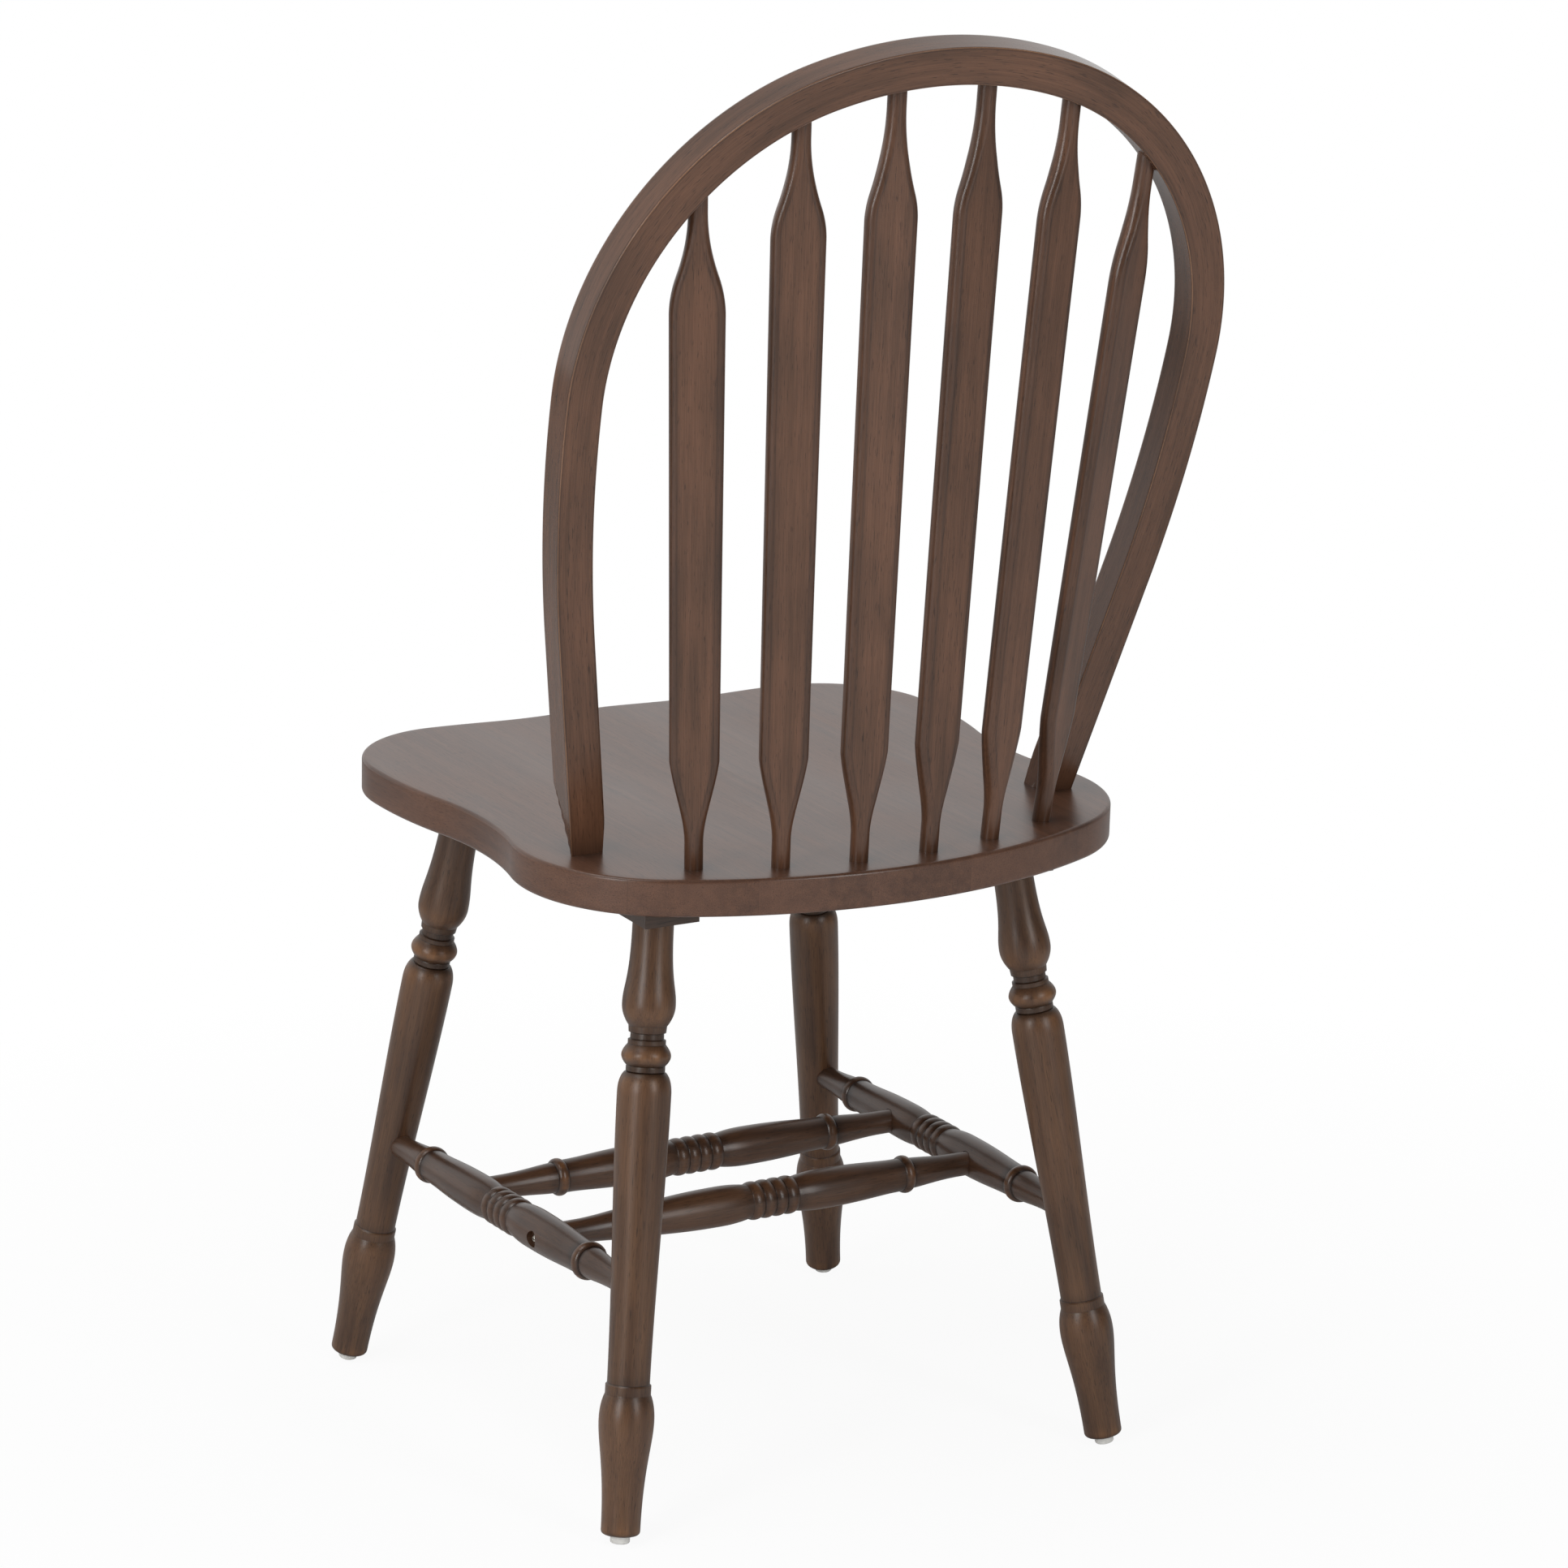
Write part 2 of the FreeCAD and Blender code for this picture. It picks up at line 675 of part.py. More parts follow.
def block_screw(end, index, name, extra="0"):
    """Countersunk screw from under the block into the seat, or with extra diameter its hole."""
    side, way = BLOCK_SCREWS[index]
    place = Vector(side * mm.block_screw_x, way * mm.block_screw_y, -number(extra) / 2)
    width = f"block_screw_diameter + {extra}"
    stations = [
        ("0", f"block_screw_head + {extra}", 0, 0),
        ("(block_screw_head - block_screw_diameter) / 2", width, 0, 0),
        (f"block_screw_length - block_screw_diameter + {extra}", width, 0, 0),
        (f"block_screw_length + {extra}", "block_screw_diameter / 4", 0, 0),
    ]
    frame = block_frame(end) * Placement(place, Rotation())
    return turned(f"block_screw_{end}_{index}_{name}", stations, frame)


def block_holes(end, name):
    """Holes for the leg and the screws, to cut from a block or from the seat."""
    screws = [block_screw(end, index, f"hole_in_{name}", "2 * fit_gap") for index in range(2)]
    leg = socket(f"leg_{end}_hole_in_{name}", "leg_top_diameter", leg_top_start(end), leg_tenon_end(end))
    return [leg, *screws]


def seat_block(end):
    blank = box(f"block_{end}_blank", "block_width", "block_length", "block_thickness", block_frame(end))
    return less(f"seat_block_{end}_left", blank, block_holes(end, "block"))


# Stretchers: a side one on the left between the leg axes, and two across between the side axes

SIDE_HEIGHTS = {"front": mm.stretcher_front_z, "rear": mm.stretcher_rear_z}
SIDE_ENDS = {end: leg_point(end, height) for end, height in SIDE_HEIGHTS.items()}


def side_point(y):
    """Point on the axis of the left side stretcher."""
    front, rear = SIDE_ENDS.values()
    return front + (rear - front) * ((y - front.y) / (rear.y - front.y))


CROSS_ENDS = {"front": side_point(mm.cross_front_y), "rear": side_point(mm.cross_rear_y)}


def stretcher_blank(name, start, end, ring_place):
    """Turned stretcher between two axes, with its rings at a distance from its middle."""
    half = start.distanceToPoint(end) / 2
    reach = half - mm.stretcher_tenon_reach
    pitch = mm.reed_pitch
    reeds_end = pitch * REED_COUNT / 2
    ring_half = mm.ring_width / 2
    outward = []
    for index in range(REED_COUNT // 2):
        outward.append((pitch * index, "reed_valley_diameter", 0, 0))
        outward.append((pitch * (index + 0.5), "reed_diameter", 0.59, 0.59))
    outward += [
        (reeds_end, "reed_valley_diameter", 0, 0.09),
        (reeds_end + mm.barrel_peak, "barrel_diameter", 0.64, 0.55),
        (ring_place - ring_half, "barrel_end_diameter", 0.3, 0),
        (ring_place, "ring_diameter", 0.67, 0.67),
        (ring_place + ring_half, "ring_neck_diameter", 0, 0.21),
        (half - mm.stretcher_neck_end, "stretcher_tenon_diameter", 0.43, 0),
        (reach, "stretcher_tenon_diameter", 0, 0),
    ]
    inward = [(-place, width, after, before) for place, width, before, after in reversed(outward[1:])]
    profile = inward + outward
    stations = [(str(place + reach), width, before, after) for place, width, before, after in profile]
    axis = (end - start).normalize()
    placement = along(start + axis * mm.stretcher_tenon_reach, end)
    return turned(name, stations, placement * Placement(Vector(), Rotation(Vector(0, 0, 1), 90)))


def side_socket(end):
    """Hole in a left leg for the tenon of the side stretcher."""
    axis = SIDE_ENDS[end]
    other = SIDE_ENDS["rear" if end == "front" else "front"]
    inward = (other - axis).normalize()
    mouth = axis + inward * mm.leg_top_diameter
    bottom = axis + inward * mm.stretcher_tenon_reach
    return socket(f"stretcher_hole_in_{end}_leg", "stretcher_tenon_diameter", mouth, bottom)


def cross_socket(end):
    """Hole in the left side stretcher for the tenon of a cross stretcher."""
    axis = CROSS_ENDS[end]
    mouth = axis - Vector(mm.leg_top_diameter, 0, 0)
    bottom = axis - Vector(mm.stretcher_tenon_reach, 0, 0)
    return socket(f"{end}_cross_hole", "stretcher_tenon_diameter", mouth, bottom)


def screw_start():
    """Outer end of the left stretcher screw, on the axis of the rear cross stretcher."""
    outside = mm.screw_floor_offset + mm.stretcher_screw_head_height
    return CROSS_ENDS["rear"] + Vector(outside, 0, 0)


def stretcher_screw(name, extra="0"):
    """Screw along the rear cross stretcher, head outermost, or with extra diameter its hole."""
    start = screw_start() + Vector(number(extra) / 2, 0, 0)
    length = f"stretcher_screw_length + {extra}"
    stations = [
        ("0", f"stretcher_screw_head / 2 + {extra}", 0, 0),
        ("stretcher_screw_head_height", f"stretcher_screw_head + {extra}", 0.5, 0),
        ("stretcher_screw_head_height", f"stretcher_screw_diameter + {extra}", 0, 0),
        (f"{length} - stretcher_screw_diameter", f"stretcher_screw_diameter + {extra}", 0, 0),
        (length, "stretcher_screw_diameter / 4", 0, 0),
    ]
    return turned(name, stations, along(start, start - Vector(1, 0, 0)))


def slotted_screw():
    """The left stretcher screw with the cross cut in its head."""
    inward = Rotation(Vector(0, 0, 1), Vector(-1, 0, 0))
    slots = []
    for index in range(2):
        outside = screw_start() + Vector(mm.screw_slot_depth, 0, 0)
        placement = Placement(outside, inward * Rotation(Vector(0, 0, 1), 90 * index))
        size = ("screw_slot_width", "screw_slot_length", "2 * screw_slot_depth")
        slots.append(box(f"screw_slot_{index}", *size, placement))
    return less("stretcher_screw_left", stretcher_screw("stretcher_screw_blank"), slots)


# Assembly: the pieces in the middle, then the left-hand ones and their mirror images

nodes = {}


def keep(name, piece):
    piece.Label = name
    nodes[name] = piece
    return piece


def keep_pair(name, piece):
    """Keep a left-hand piece and its right-hand twin."""
    keep(f"{name}_left", piece)
    keep(f"{name}_right", mirror(f"{name}_right", piece))


def both_sides(name, tools):
    """Tools for the left-hand side, repeated on the right."""
    left = group(name + "_left_tools", tools)
    return [left, mirror(name + "_right_tools", left)]


def spindle_holes(place):
    """Holes for the left spindles' tenons in the seat or in the hoop."""
    holes = []
    for pair in range(len(BLADE_ENDS)):
        bottom, top = spindle_ends(pair)
        reach = (top - bottom).normalize() * mm.spindle_tenon_length
        start, end = (bottom + reach, bottom - reach) if place == "seat" else (top - reach, top + reach)
        holes.append(socket(f"spindle_{pair}_hole_in_{place}", "spindle_neck", start, end))
    return holes


hoop_tenon = hoop_tenon_ends()
seat_tools = [*spindle_holes("seat"), socket("hoop_hole", "hoop_tenon_diameter", *hoop_tenon)]
for end in LEGS:
    seat_tools += block_holes(end, "seat")
keep("seat", less("seat", seat_board(), both_sides("seat", seat_tools)))

below_seat = seat_frame * Placement(Vector(0, mm.hoop_foot_y, -mm.seat_back_y), Rotation())
seat_space = box("seat_space", "4 * seat_back_y", "2 * seat_back_y", "seat_back_y", below_seat)
bow = less("hoop_trimmed", hoop_bow(), [seat_space, *both_sides("relief", foot_reliefs())])
tenons = both_sides("tenon", [rod("hoop_tenon", "hoop_tenon_diameter", *hoop_tenon)])
bow_and_tenons = joined("hoop_with_tenons", [bow, *tenons])
keep("hoop", less("hoop", bow_and_tenons, both_sides("hoop", spindle_holes("hoop"))))

for pair in reversed(range(len(BLADE_ENDS))):
    left = keep(f"spindle_{len(BLADE_ENDS) - pair}", spindle(pair))
    right = f"spindle_{len(BLADE_ENDS) + 1 + pair}"
    keep(right, mirror(right, left))

for end in LEGS:
    holes = [side_socket(end), glide_nail(end, "hole_in_leg", "2 * fit_gap")]
    keep_pair(f"leg_{end}", less(f"leg_{end}_left", leg_blank(end), holes))
    keep_pair(f"glide_{end}", glide(end))
    keep_pair(f"seat_block_{end}", seat_block(end))

recess_floor = CROSS_ENDS["rear"] + Vector(mm.screw_floor_offset, 0, 0)
recess_mouth = recess_floor + Vector(mm.leg_top_diameter, 0, 0)
recess = rod("screw_recess", "screw_recess_diameter", recess_floor, recess_mouth)
side_ring = SIDE_ENDS["front"].distanceToPoint(SIDE_ENDS["rear"]) / 2 - mm.side_ring_inset
side_blank = stretcher_blank("side_blank", *SIDE_ENDS.values(), side_ring)
screw_hole = stretcher_screw("side_screw_hole", "2 * fit_gap")
side_tools = [cross_socket("front"), cross_socket("rear"), recess, screw_hole]
keep_pair("side_stretcher", less("side_stretcher_left", side_blank, side_tools))

for end, right_end in CROSS_ENDS.items():
    left_end = Vector(-right_end.x, right_end.y, right_end.z)
    name = f"cross_stretcher_{end}"
    blank = stretcher_blank(f"{name}_blank", left_end, right_end, mm.cross_ring_x)
    if end == "rear":
        holes = both_sides(name, [stretcher_screw("cross_screw_hole", "2 * fit_gap")])
        blank = less(name, blank, holes)
    keep(name, blank)

nails = [glide_nail(end, "left") for end in LEGS]
keep("glide_nails", group("glide_nails", [*nails, mirror("nails_right", group("nails_left", nails))]))
screws = [block_screw(end, index, "left") for end in LEGS for index in range(len(BLOCK_SCREWS))]
keep("block_screws", group("block_screws", [*screws, mirror("screws_right", group("screws_left", screws))]))
screw = slotted_screw()
keep("stretcher_screws", group("stretcher_screws", [screw, mirror("stretcher_screw_right", screw)]))

doc.recompute()
for item in doc.Objects:
    if {"Invalid", "Error"} & set(item.State):
        raise RuntimeError(f"{item.Name} did not build: {item.State}")
for name, piece in nodes.items():
    if piece.Shape.isNull() or not piece.Shape.isValid():
        raise RuntimeError(f"{name} has no valid shape")

os.makedirs("parts", exist_ok=True)
for name, piece in nodes.items():
    piece.Shape.exportStep(os.path.join("parts", f"{name}.step"))
    print(f"{name}: {len(piece.Shape.Solids)} solids, {piece.Shape.Volume / 1000:.2f} cm3")
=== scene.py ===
# %% [markdown]
# # An arrow-back side chair
# The real chair is a plain hardwood one, stained walnut brown and sprayed with a satin lacquer. Its
# legs and stretchers are turned, its bow is bent, its spindles are sawn flat and its seat is glued up
# from boards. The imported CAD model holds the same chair, in metres. This script repeats its sizes in
# millimetres and gives the seat, the bow, the spindles, the legs and the cross stretchers smooth, dense
# surfaces. The other pieces keep the model's own skins, and every piece gets its finish here.

# %% Load the frame
import math

import bpy
import numpy as np
from mathutils import Matrix


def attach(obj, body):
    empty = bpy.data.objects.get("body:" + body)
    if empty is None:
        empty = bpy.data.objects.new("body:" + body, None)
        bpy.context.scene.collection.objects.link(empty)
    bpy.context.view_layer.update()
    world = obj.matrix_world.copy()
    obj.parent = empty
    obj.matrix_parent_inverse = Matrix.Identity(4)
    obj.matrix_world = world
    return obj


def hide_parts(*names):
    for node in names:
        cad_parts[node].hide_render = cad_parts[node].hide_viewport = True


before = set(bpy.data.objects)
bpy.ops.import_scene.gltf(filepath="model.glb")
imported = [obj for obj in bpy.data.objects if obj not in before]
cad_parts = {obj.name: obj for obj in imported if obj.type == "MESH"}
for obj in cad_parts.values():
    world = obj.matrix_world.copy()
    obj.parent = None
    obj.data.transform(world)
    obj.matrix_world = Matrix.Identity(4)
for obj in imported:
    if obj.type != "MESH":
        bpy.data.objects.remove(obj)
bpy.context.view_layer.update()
scene = bpy.context.scene
print("CAD nodes:", len(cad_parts))

# %% [markdown]
# ## The camera
# A photograph's viewpoint is a place, a direction and a lens. These were found by fitting the feet,
# the seat and the bow. The camera's back axis points from the chair to the lens, its right axis is
# level but for a small roll, and a long lens keeps the splayed legs from spreading too far.

# %% Camera at the photograph's viewpoint
CAMERA_PLACE = np.array([1.6381, 2.9227, 1.2797])
CAMERA_BACK = np.array([0.4795, 0.8437, 0.2412])
CAMERA_ROLL = math.radians(0.311)
LENS = 119.12


def unit(vector):
    """The same direction with a length of one."""
    vector = np.asarray(vector, float)
    return vector / np.linalg.norm(vector)


back = unit(CAMERA_BACK)
level = unit(np.cross([0, 0, 1], back))
right = math.cos(CAMERA_ROLL) * level + math.sin(CAMERA_ROLL) * np.cross(back, level)
lens = bpy.data.cameras.new("photograph_view")
lens.sensor_fit = "HORIZONTAL"
lens.sensor_width = 36.0
lens.lens = LENS
lens.clip_end = 50.0
camera = bpy.data.objects.new("photograph_view", lens)
matrix = np.eye(4)
matrix[:3, :3] = np.column_stack([right, np.cross(back, right), back])
matrix[:3, 3] = CAMERA_PLACE
camera.matrix_world = Matrix(matrix.tolist())
scene.collection.objects.link(camera)
scene.camera = camera
print("camera at", CAMERA_PLACE)

# %% [markdown]
# ## From rings to a mesh
# Turned, bent and sawn pieces are all skins stretched over a row of closed rings. A ring is one row of
# a numpy array, so a whole piece is one array with a row for each ring, a column for each point round
# it, and three coordinates in millimetres. Each end is closed with a fan. Every point also keeps where
# it lies in the wood, how far settled stain and painted shade darken it, how far rubbed wear and a
# painted highlight lighten it, and how well it is polished. Each piece is cut at a random place in
# the wood.

# %% Skins and wood attributes
MM = 0.001
SMOOTH_BELOW = math.radians(38)
WOOD_SPREAD = 900
random = np.random.default_rng(7)


def skin(rings):
    """Vertices and faces over rings: a quad between each four neighbours, and a fan on each end."""
    count, around, _ = rings.shape
    index = np.arange(count * around).reshape(count, around)
    after = np.roll(index, -1, axis=1)
    quads = np.stack([index[:-1], after[:-1], after[1:], index[1:]], axis=-1).reshape(-1, 4)
    ends = np.full(around, count * around)
    first = np.stack([after[0], index[0], ends], axis=-1)
    last = np.stack([index[-1], after[-1], ends + 1], axis=-1)
    vertices = np.vstack([rings.reshape(-1, 3), rings[0].mean(axis=0), rings[-1].mean(axis=0)])
    a, b, c, d = (vertices[quads[:, corner]] for corner in range(4))
    volume = np.einsum("ij,ij->", a, np.cross(b, c)) + np.einsum("ij,ij->", a, np.cross(c, d))
    faces = [quads, first, last]
    if volume < 0:
        faces = [group[:, ::-1] for group in faces]
    return vertices, [face for group in faces for face in group.tolist()]


def with_ends(values, shape):
    """One value for each vertex of a skin: those of the rings, then the mean of each end ring."""
    values = np.broadcast_to(values, shape)
    first = values[:1].mean(axis=1)
    last = values[-1:].mean(axis=1)
    return np.concatenate([values.reshape(-1, *shape[2:]), first, last])


def wooden(name, vertices, faces, grain, stain_and_shade=0.0, wear_and_highlight=0.0, polish=0.0):
    """A mesh object in metres with grain, settled stain and painted shade, rubbed wear and a painted
    highlight, polish and tone stored on its points.
    """
    mesh = bpy.data.meshes.new(name)
    mesh.from_pydata((vertices * MM).tolist(), [], faces)
    cut_at = random.uniform(0, WOOD_SPREAD, 3)
    grain_data = mesh.attributes.new("grain", "FLOAT_VECTOR", "POINT").data
    grain_data.foreach_set("vector", (grain + cut_at).ravel())
    count = len(vertices)
    stored = {"stain_and_shade": stain_and_shade, "wear_and_highlight": wear_and_highlight, "polish": polish, "tone": random.uniform(-1, 1)}
    for label, values in stored.items():
        values = np.ascontiguousarray(np.broadcast_to(values, count), np.float32)
        mesh.attributes.new(label, "FLOAT", "POINT").data.foreach_set("value", values)
    mesh.shade_smooth()
    mesh.set_sharp_from_angle(angle=SMOOTH_BELOW)
    piece = bpy.data.objects.new(name, mesh)
    scene.collection.objects.link(piece)
    return piece


def wooden_skin(name, rings, grain, stain_and_shade=0.0, wear_and_highlight=0.0, polish=0.0):
    """A wooden piece over rings, its attributes given for each point of the rings."""
    vertices, faces = skin(rings)
    flat = rings.shape[:2]
    return wooden(
        name,
        vertices,
        faces,
        with_ends(grain, rings.shape),
        with_ends(stain_and_shade, flat),
        with_ends(wear_and_highlight, flat),
        with_ends(polish, flat),
    )


def stand_for(piece, node, material):
    """The piece takes a CAD node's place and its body."""
    piece.data.materials.append(material)
    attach(piece, "root")
    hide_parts(node)
    print(f"{piece.name}: {len(piece.data.polygons)} faces")


# %% [markdown]
# ## Stained and lacquered hardwood
# The stain is a dark walnut dye. It sinks deepest into the pores, short dark dashes along the grain,
# and settles in grooves, and it is rubbed thin on beads, where the wood shows warmer. The same
# darkening also paints shade where parts meet, on the spindles' rounded edges and on the bow's flanks,
# and draws dark lines along some edges. The warmer colour also paints a highlight along the bow's back
# arris. The lacquer over it is satin: a soft highlight, and a pale sheen where the light skims a flat
# face.
# Patterns are drawn in the wood's own millimetres, with the grain along the third coordinate, so they
# run up a leg, round the bow and from front to back in the seat.

# %% Node helpers and colours
MIX_FACTOR, MIX_A, MIX_B, MIX_RESULT = 0, 6, 7, 2


def linear(hex_colour):
    """An sRGB hex colour as linear RGBA, by the sRGB curve."""
    srgb = np.array([int(hex_colour[place:place + 2], 16) for place in (1, 3, 5)]) / 255
    rgb = np.where(srgb <= 0.04045, srgb / 12.92, ((srgb + 0.055) / 1.055) ** 2.4)
    return (*rgb.tolist(), 1.0)


def add(tree, kind, inputs=None, **settings):
    """Adds a node, sets its properties, and sets or links its inputs by name or number."""
    item = tree.nodes.new(kind)
    for key, value in settings.items():
        setattr(item, key, value)
    for key, value in (inputs or {}).items():
        if isinstance(value, bpy.types.NodeSocket):
            tree.links.new(value, item.inputs[key])
        else:
            item.inputs[key].default_value = value
    return item


def blank_material(name):
    """A material with only an output node, and its node tree."""
    material = bpy.data.materials.new(name)
    material.use_nodes = True
    tree = material.node_tree
    tree.nodes.clear()
    output = tree.nodes.new("ShaderNodeOutputMaterial")
    return material, tree, output


def calculated(tree, operation, *values):
    """The outcome of one piece of arithmetic on numbers or sockets."""
    return add(tree, "ShaderNodeMath", dict(enumerate(values)), operation=operation).outputs[0]


def scaled(tree, vector, factor):
    """A vector or colour times a number."""
    inputs = {0: vector, "Scale": factor}
    return add(tree, "ShaderNodeVectorMath", inputs, operation="SCALE").outputs[0]


def ranged(tree, value, low, high, first, last, curve="LINEAR"):
    """A value moved from the range low to high onto the range first to last, and held within it."""
    inputs = {0: value, 1: low, 2: high, 3: first, 4: last}
    return add(tree, "ShaderNodeMapRange", inputs, interpolation_type=curve).outputs[0]


def mixed(tree, share, first, last):
    """The colour that lies a share of the way from one colour to another."""
    inputs = {MIX_FACTOR: share, MIX_A: first, MIX_B: last}
    return add(tree, "ShaderNodeMix", inputs, data_type="RGBA").outputs[MIX_RESULT]


# %% Walnut-stained hardwood
# Scales are per millimetre, HALF_SEAM is in millimetres, and a shade is a factor on the colour.
STREAK_SCALE = (0.16, 0.16, 0.009)
CLOUD_SCALE = (0.022, 0.022, 0.012)
FIBRE_SCALE = (1.5, 1.5, 0.028)
PORE_SCALE = (1.5, 1.5, 0.12)
STREAK_BEND = 0.15
BOARD_JUMP = 700.0
HALF_SEAM = 0.35
SEAM_SHADE = 0.8
PORE_SHADE = 0.5
STAIN_AND_SHADE_FACTOR = 0.22
POLISH_GAIN = 0.08
BUMP_STRENGTH = 0.12
BUMP_DISTANCE = 0.0002


def stained_hardwood(name, dark, middle, light, worn_and_highlight, roughness, board=None):
    """Streaks, fibres and pores along the grain, dark glaze in hollows and painted shade, worn high
    places and a painted highlight.

    Each pattern is a noise whose coordinates are the wood's millimetres times (across, across, along).
    With a board width, the wood is glued up from boards that differ a little in tone and figure.
    """
    material, tree, output = blank_material(name)

    def stored(label, kind="Fac"):
        return add(tree, "ShaderNodeAttribute", attribute_name=label).outputs[kind]

    grain = stored("grain", "Vector")
    tone = stored("tone")
    seam_shade = []
    if board:
        across = add(tree, "ShaderNodeSeparateXYZ", {0: grain}).outputs["X"]
        place = calculated(tree, "DIVIDE", across, board)
        number = calculated(tree, "FLOOR", place)
        chance = add(tree, "ShaderNodeTexWhiteNoise", {"W": number}, noise_dimensions="1D").outputs
        tone = ranged(tree, chance["Value"], 0, 1, -1, 1)
        jump = scaled(tree, chance["Color"], BOARD_JUMP)
        grain = add(tree, "ShaderNodeVectorMath", {0: grain, 1: jump}).outputs[0]
        inside = calculated(tree, "FRACT", place)
        off_middle = calculated(tree, "ABSOLUTE", calculated(tree, "SUBTRACT", inside, 0.5))
        seam_shade = [ranged(tree, off_middle, 0.5 - HALF_SEAM / board, 0.5, 1, SEAM_SHADE)]

    def pattern(scale, detail, distortion=0.0):
        stretch = {0: grain, 1: scale}
        stretched = add(tree, "ShaderNodeVectorMath", stretch, operation="MULTIPLY").outputs[0]
        inputs = {"Vector": stretched, "Scale": 1.0, "Detail": detail, "Distortion": distortion}
        return add(tree, "ShaderNodeTexNoise", inputs).outputs["Fac"]

    streaks = pattern(STREAK_SCALE, 4.0, STREAK_BEND)
    clouds = pattern(CLOUD_SCALE, 2.0)
    fibres = pattern(FIBRE_SCALE, 3.0)
    pores = pattern(PORE_SCALE, 1.0)
    streak_part = ranged(tree, streaks, 0.32, 0.68, 0, 1)
    cloud_part = ranged(tree, clouds, 0.3, 0.8, 0, 0.6, "SMOOTHSTEP")
    colour = mixed(tree, streak_part, linear(dark), linear(middle))
    colour = mixed(tree, cloud_part, colour, linear(light))
    shades = [
        ranged(tree, tone, -1, 1, 0.96, 1.04),
        ranged(tree, fibres, 0.3, 0.7, 0.8, 1.18),
        ranged(tree, pores, 0.63, 0.72, 1, PORE_SHADE),
        *seam_shade,
    ]
    for shade in shades:
        colour = scaled(tree, colour, shade)
    # Rubbed wear, and on the bow's arris a painted highlight, draw the colour towards the worn one.
    wear_and_highlight_part = calculated(tree, "MULTIPLY", stored("wear_and_highlight"), streak_part)
    colour = mixed(tree, wear_and_highlight_part, colour, linear(worn_and_highlight))
    # Settled stain and painted shade darken the colour by the same factor.
    colour = scaled(tree, colour, ranged(tree, stored("stain_and_shade"), 0, 1, 1, STAIN_AND_SHADE_FACTOR))
    satin = ranged(tree, clouds, 0.2, 0.8, roughness - 0.02, roughness + 0.03)
    gain = calculated(tree, "MULTIPLY", stored("polish"), POLISH_GAIN)
    gloss = calculated(tree, "SUBTRACT", satin, gain)
    relief = calculated(tree, "SUBTRACT", fibres, pores)
    bumps = {"Height": relief, "Strength": BUMP_STRENGTH, "Distance": BUMP_DISTANCE}
    normal = add(tree, "ShaderNodeBump", bumps).outputs[0]
    surface = {"Base Color": colour, "Roughness": gloss, "IOR": 1.5, "Normal": normal}
    shader = add(tree, "ShaderNodeBsdfPrincipled", surface)
    tree.links.new(shader.outputs[0], output.inputs[0])
    return material


# Dark, middle, light and worn colours, a roughness, and for the seat the width of a board. The
# back's worn colour only paints the highlight along the bow's back arris.
WOODS = {
    "seat": ("#4b3124", "#5d3f2e", "#684837", "#7a5c48", 0.31, 74.0),
    "back": ("#4c3323", "#624331", "#734f3a", "#ad8768", 0.3),
    "leg": ("#402a1c", "#5a3f2a", "#6e4d34", "#97683f", 0.36),
    "stretcher": ("#3a271c", "#523827", "#634632", "#95643b", 0.31),
    "block": ("#382921", "#46352a", "#514034", "#5f4f44", 0.48),
}
seat_wood, back_wood, leg_wood, stretcher_wood, block_wood = (
    stained_hardwood(f"satin_{use}_hardwood", *look) for use, look in WOODS.items()
)

# %% [markdown]
# ## The seat
# The seat is sawn to a waisted outline, then dished very slightly for the sitter. Its outline is a
# chain of arcs that run on smoothly from each other, and its surface is that outline drawn in towards
# the middle on top, rolled over a small round at the edge, and drawn in again underneath.

# %% Arcs that run on from each other
def arc_chain(start, arcs, step):
    """Points and left-hand directions along arcs that continue each other, and the last heading.

    An arc is (radius, degrees of turn to the right). Its points are the centre plus the radius times
    the left-hand direction, as the heading turns at an even rate.
    """
    place = np.array(start, float)
    angle = 0.0
    points, lefts = [], []
    for radius, degrees in arcs:
        turn = math.radians(degrees)
        steps = max(2, math.ceil(radius * abs(turn) / step))
        heading = angle - turn * np.linspace(0, 1, steps + 1)[:, None]
        left = np.hstack([-np.sin(heading), np.cos(heading)])
        side = math.copysign(radius, turn)
        run = place - left[0] * side + left * side
        points.append(run[:-1])
        lefts.append(left[:-1])
        place = run[-1]
        angle -= turn
    points.append(place[None])
    lefts.append(np.array([[-math.sin(angle), math.cos(angle)]]))
    return np.vstack(points), np.vstack(lefts), angle


def rotate_about_x(degrees):
    """The three axes of a frame turned about X, as rows."""
    cosine, sine = math.cos(math.radians(degrees)), math.sin(math.radians(degrees))
    return np.array([[1, 0, 0], [0, cosine, sine], [0, -sine, cosine]])


# %% Where the back stands on the seat
SPINDLE_COUNT = 6
SPINDLE_ARC_RADIUS = 288.3
SPINDLE_ARC_Y = -105.0
SPINDLE_SPACING = 51.6
SPINDLE_NECK = 12.0
HOOP_FOOT_X = 173.0
HOOP_FOOT_MIDDLE_Y = 86.0
HOOP_FOOT_REACH = 12.0


def spindle_foot_y(foot_x):
    """A spindle's place from front to back, on an arc whose centre lies ahead of the seat's middle."""
    return SPINDLE_ARC_Y + math.sqrt(SPINDLE_ARC_RADIUS**2 - foot_x**2)


spindle_x = [SPINDLE_SPACING * (count - (SPINDLE_COUNT - 1) / 2) for count in range(SPINDLE_COUNT)]
back_feet = [(foot_x, spindle_foot_y(foot_x), SPINDLE_NECK / 2) for foot_x in spindle_x]
back_feet += [(foot_x, HOOP_FOOT_MIDDLE_Y, HOOP_FOOT_REACH) for foot_x in (-HOOP_FOOT_X, HOOP_FOOT_X)]

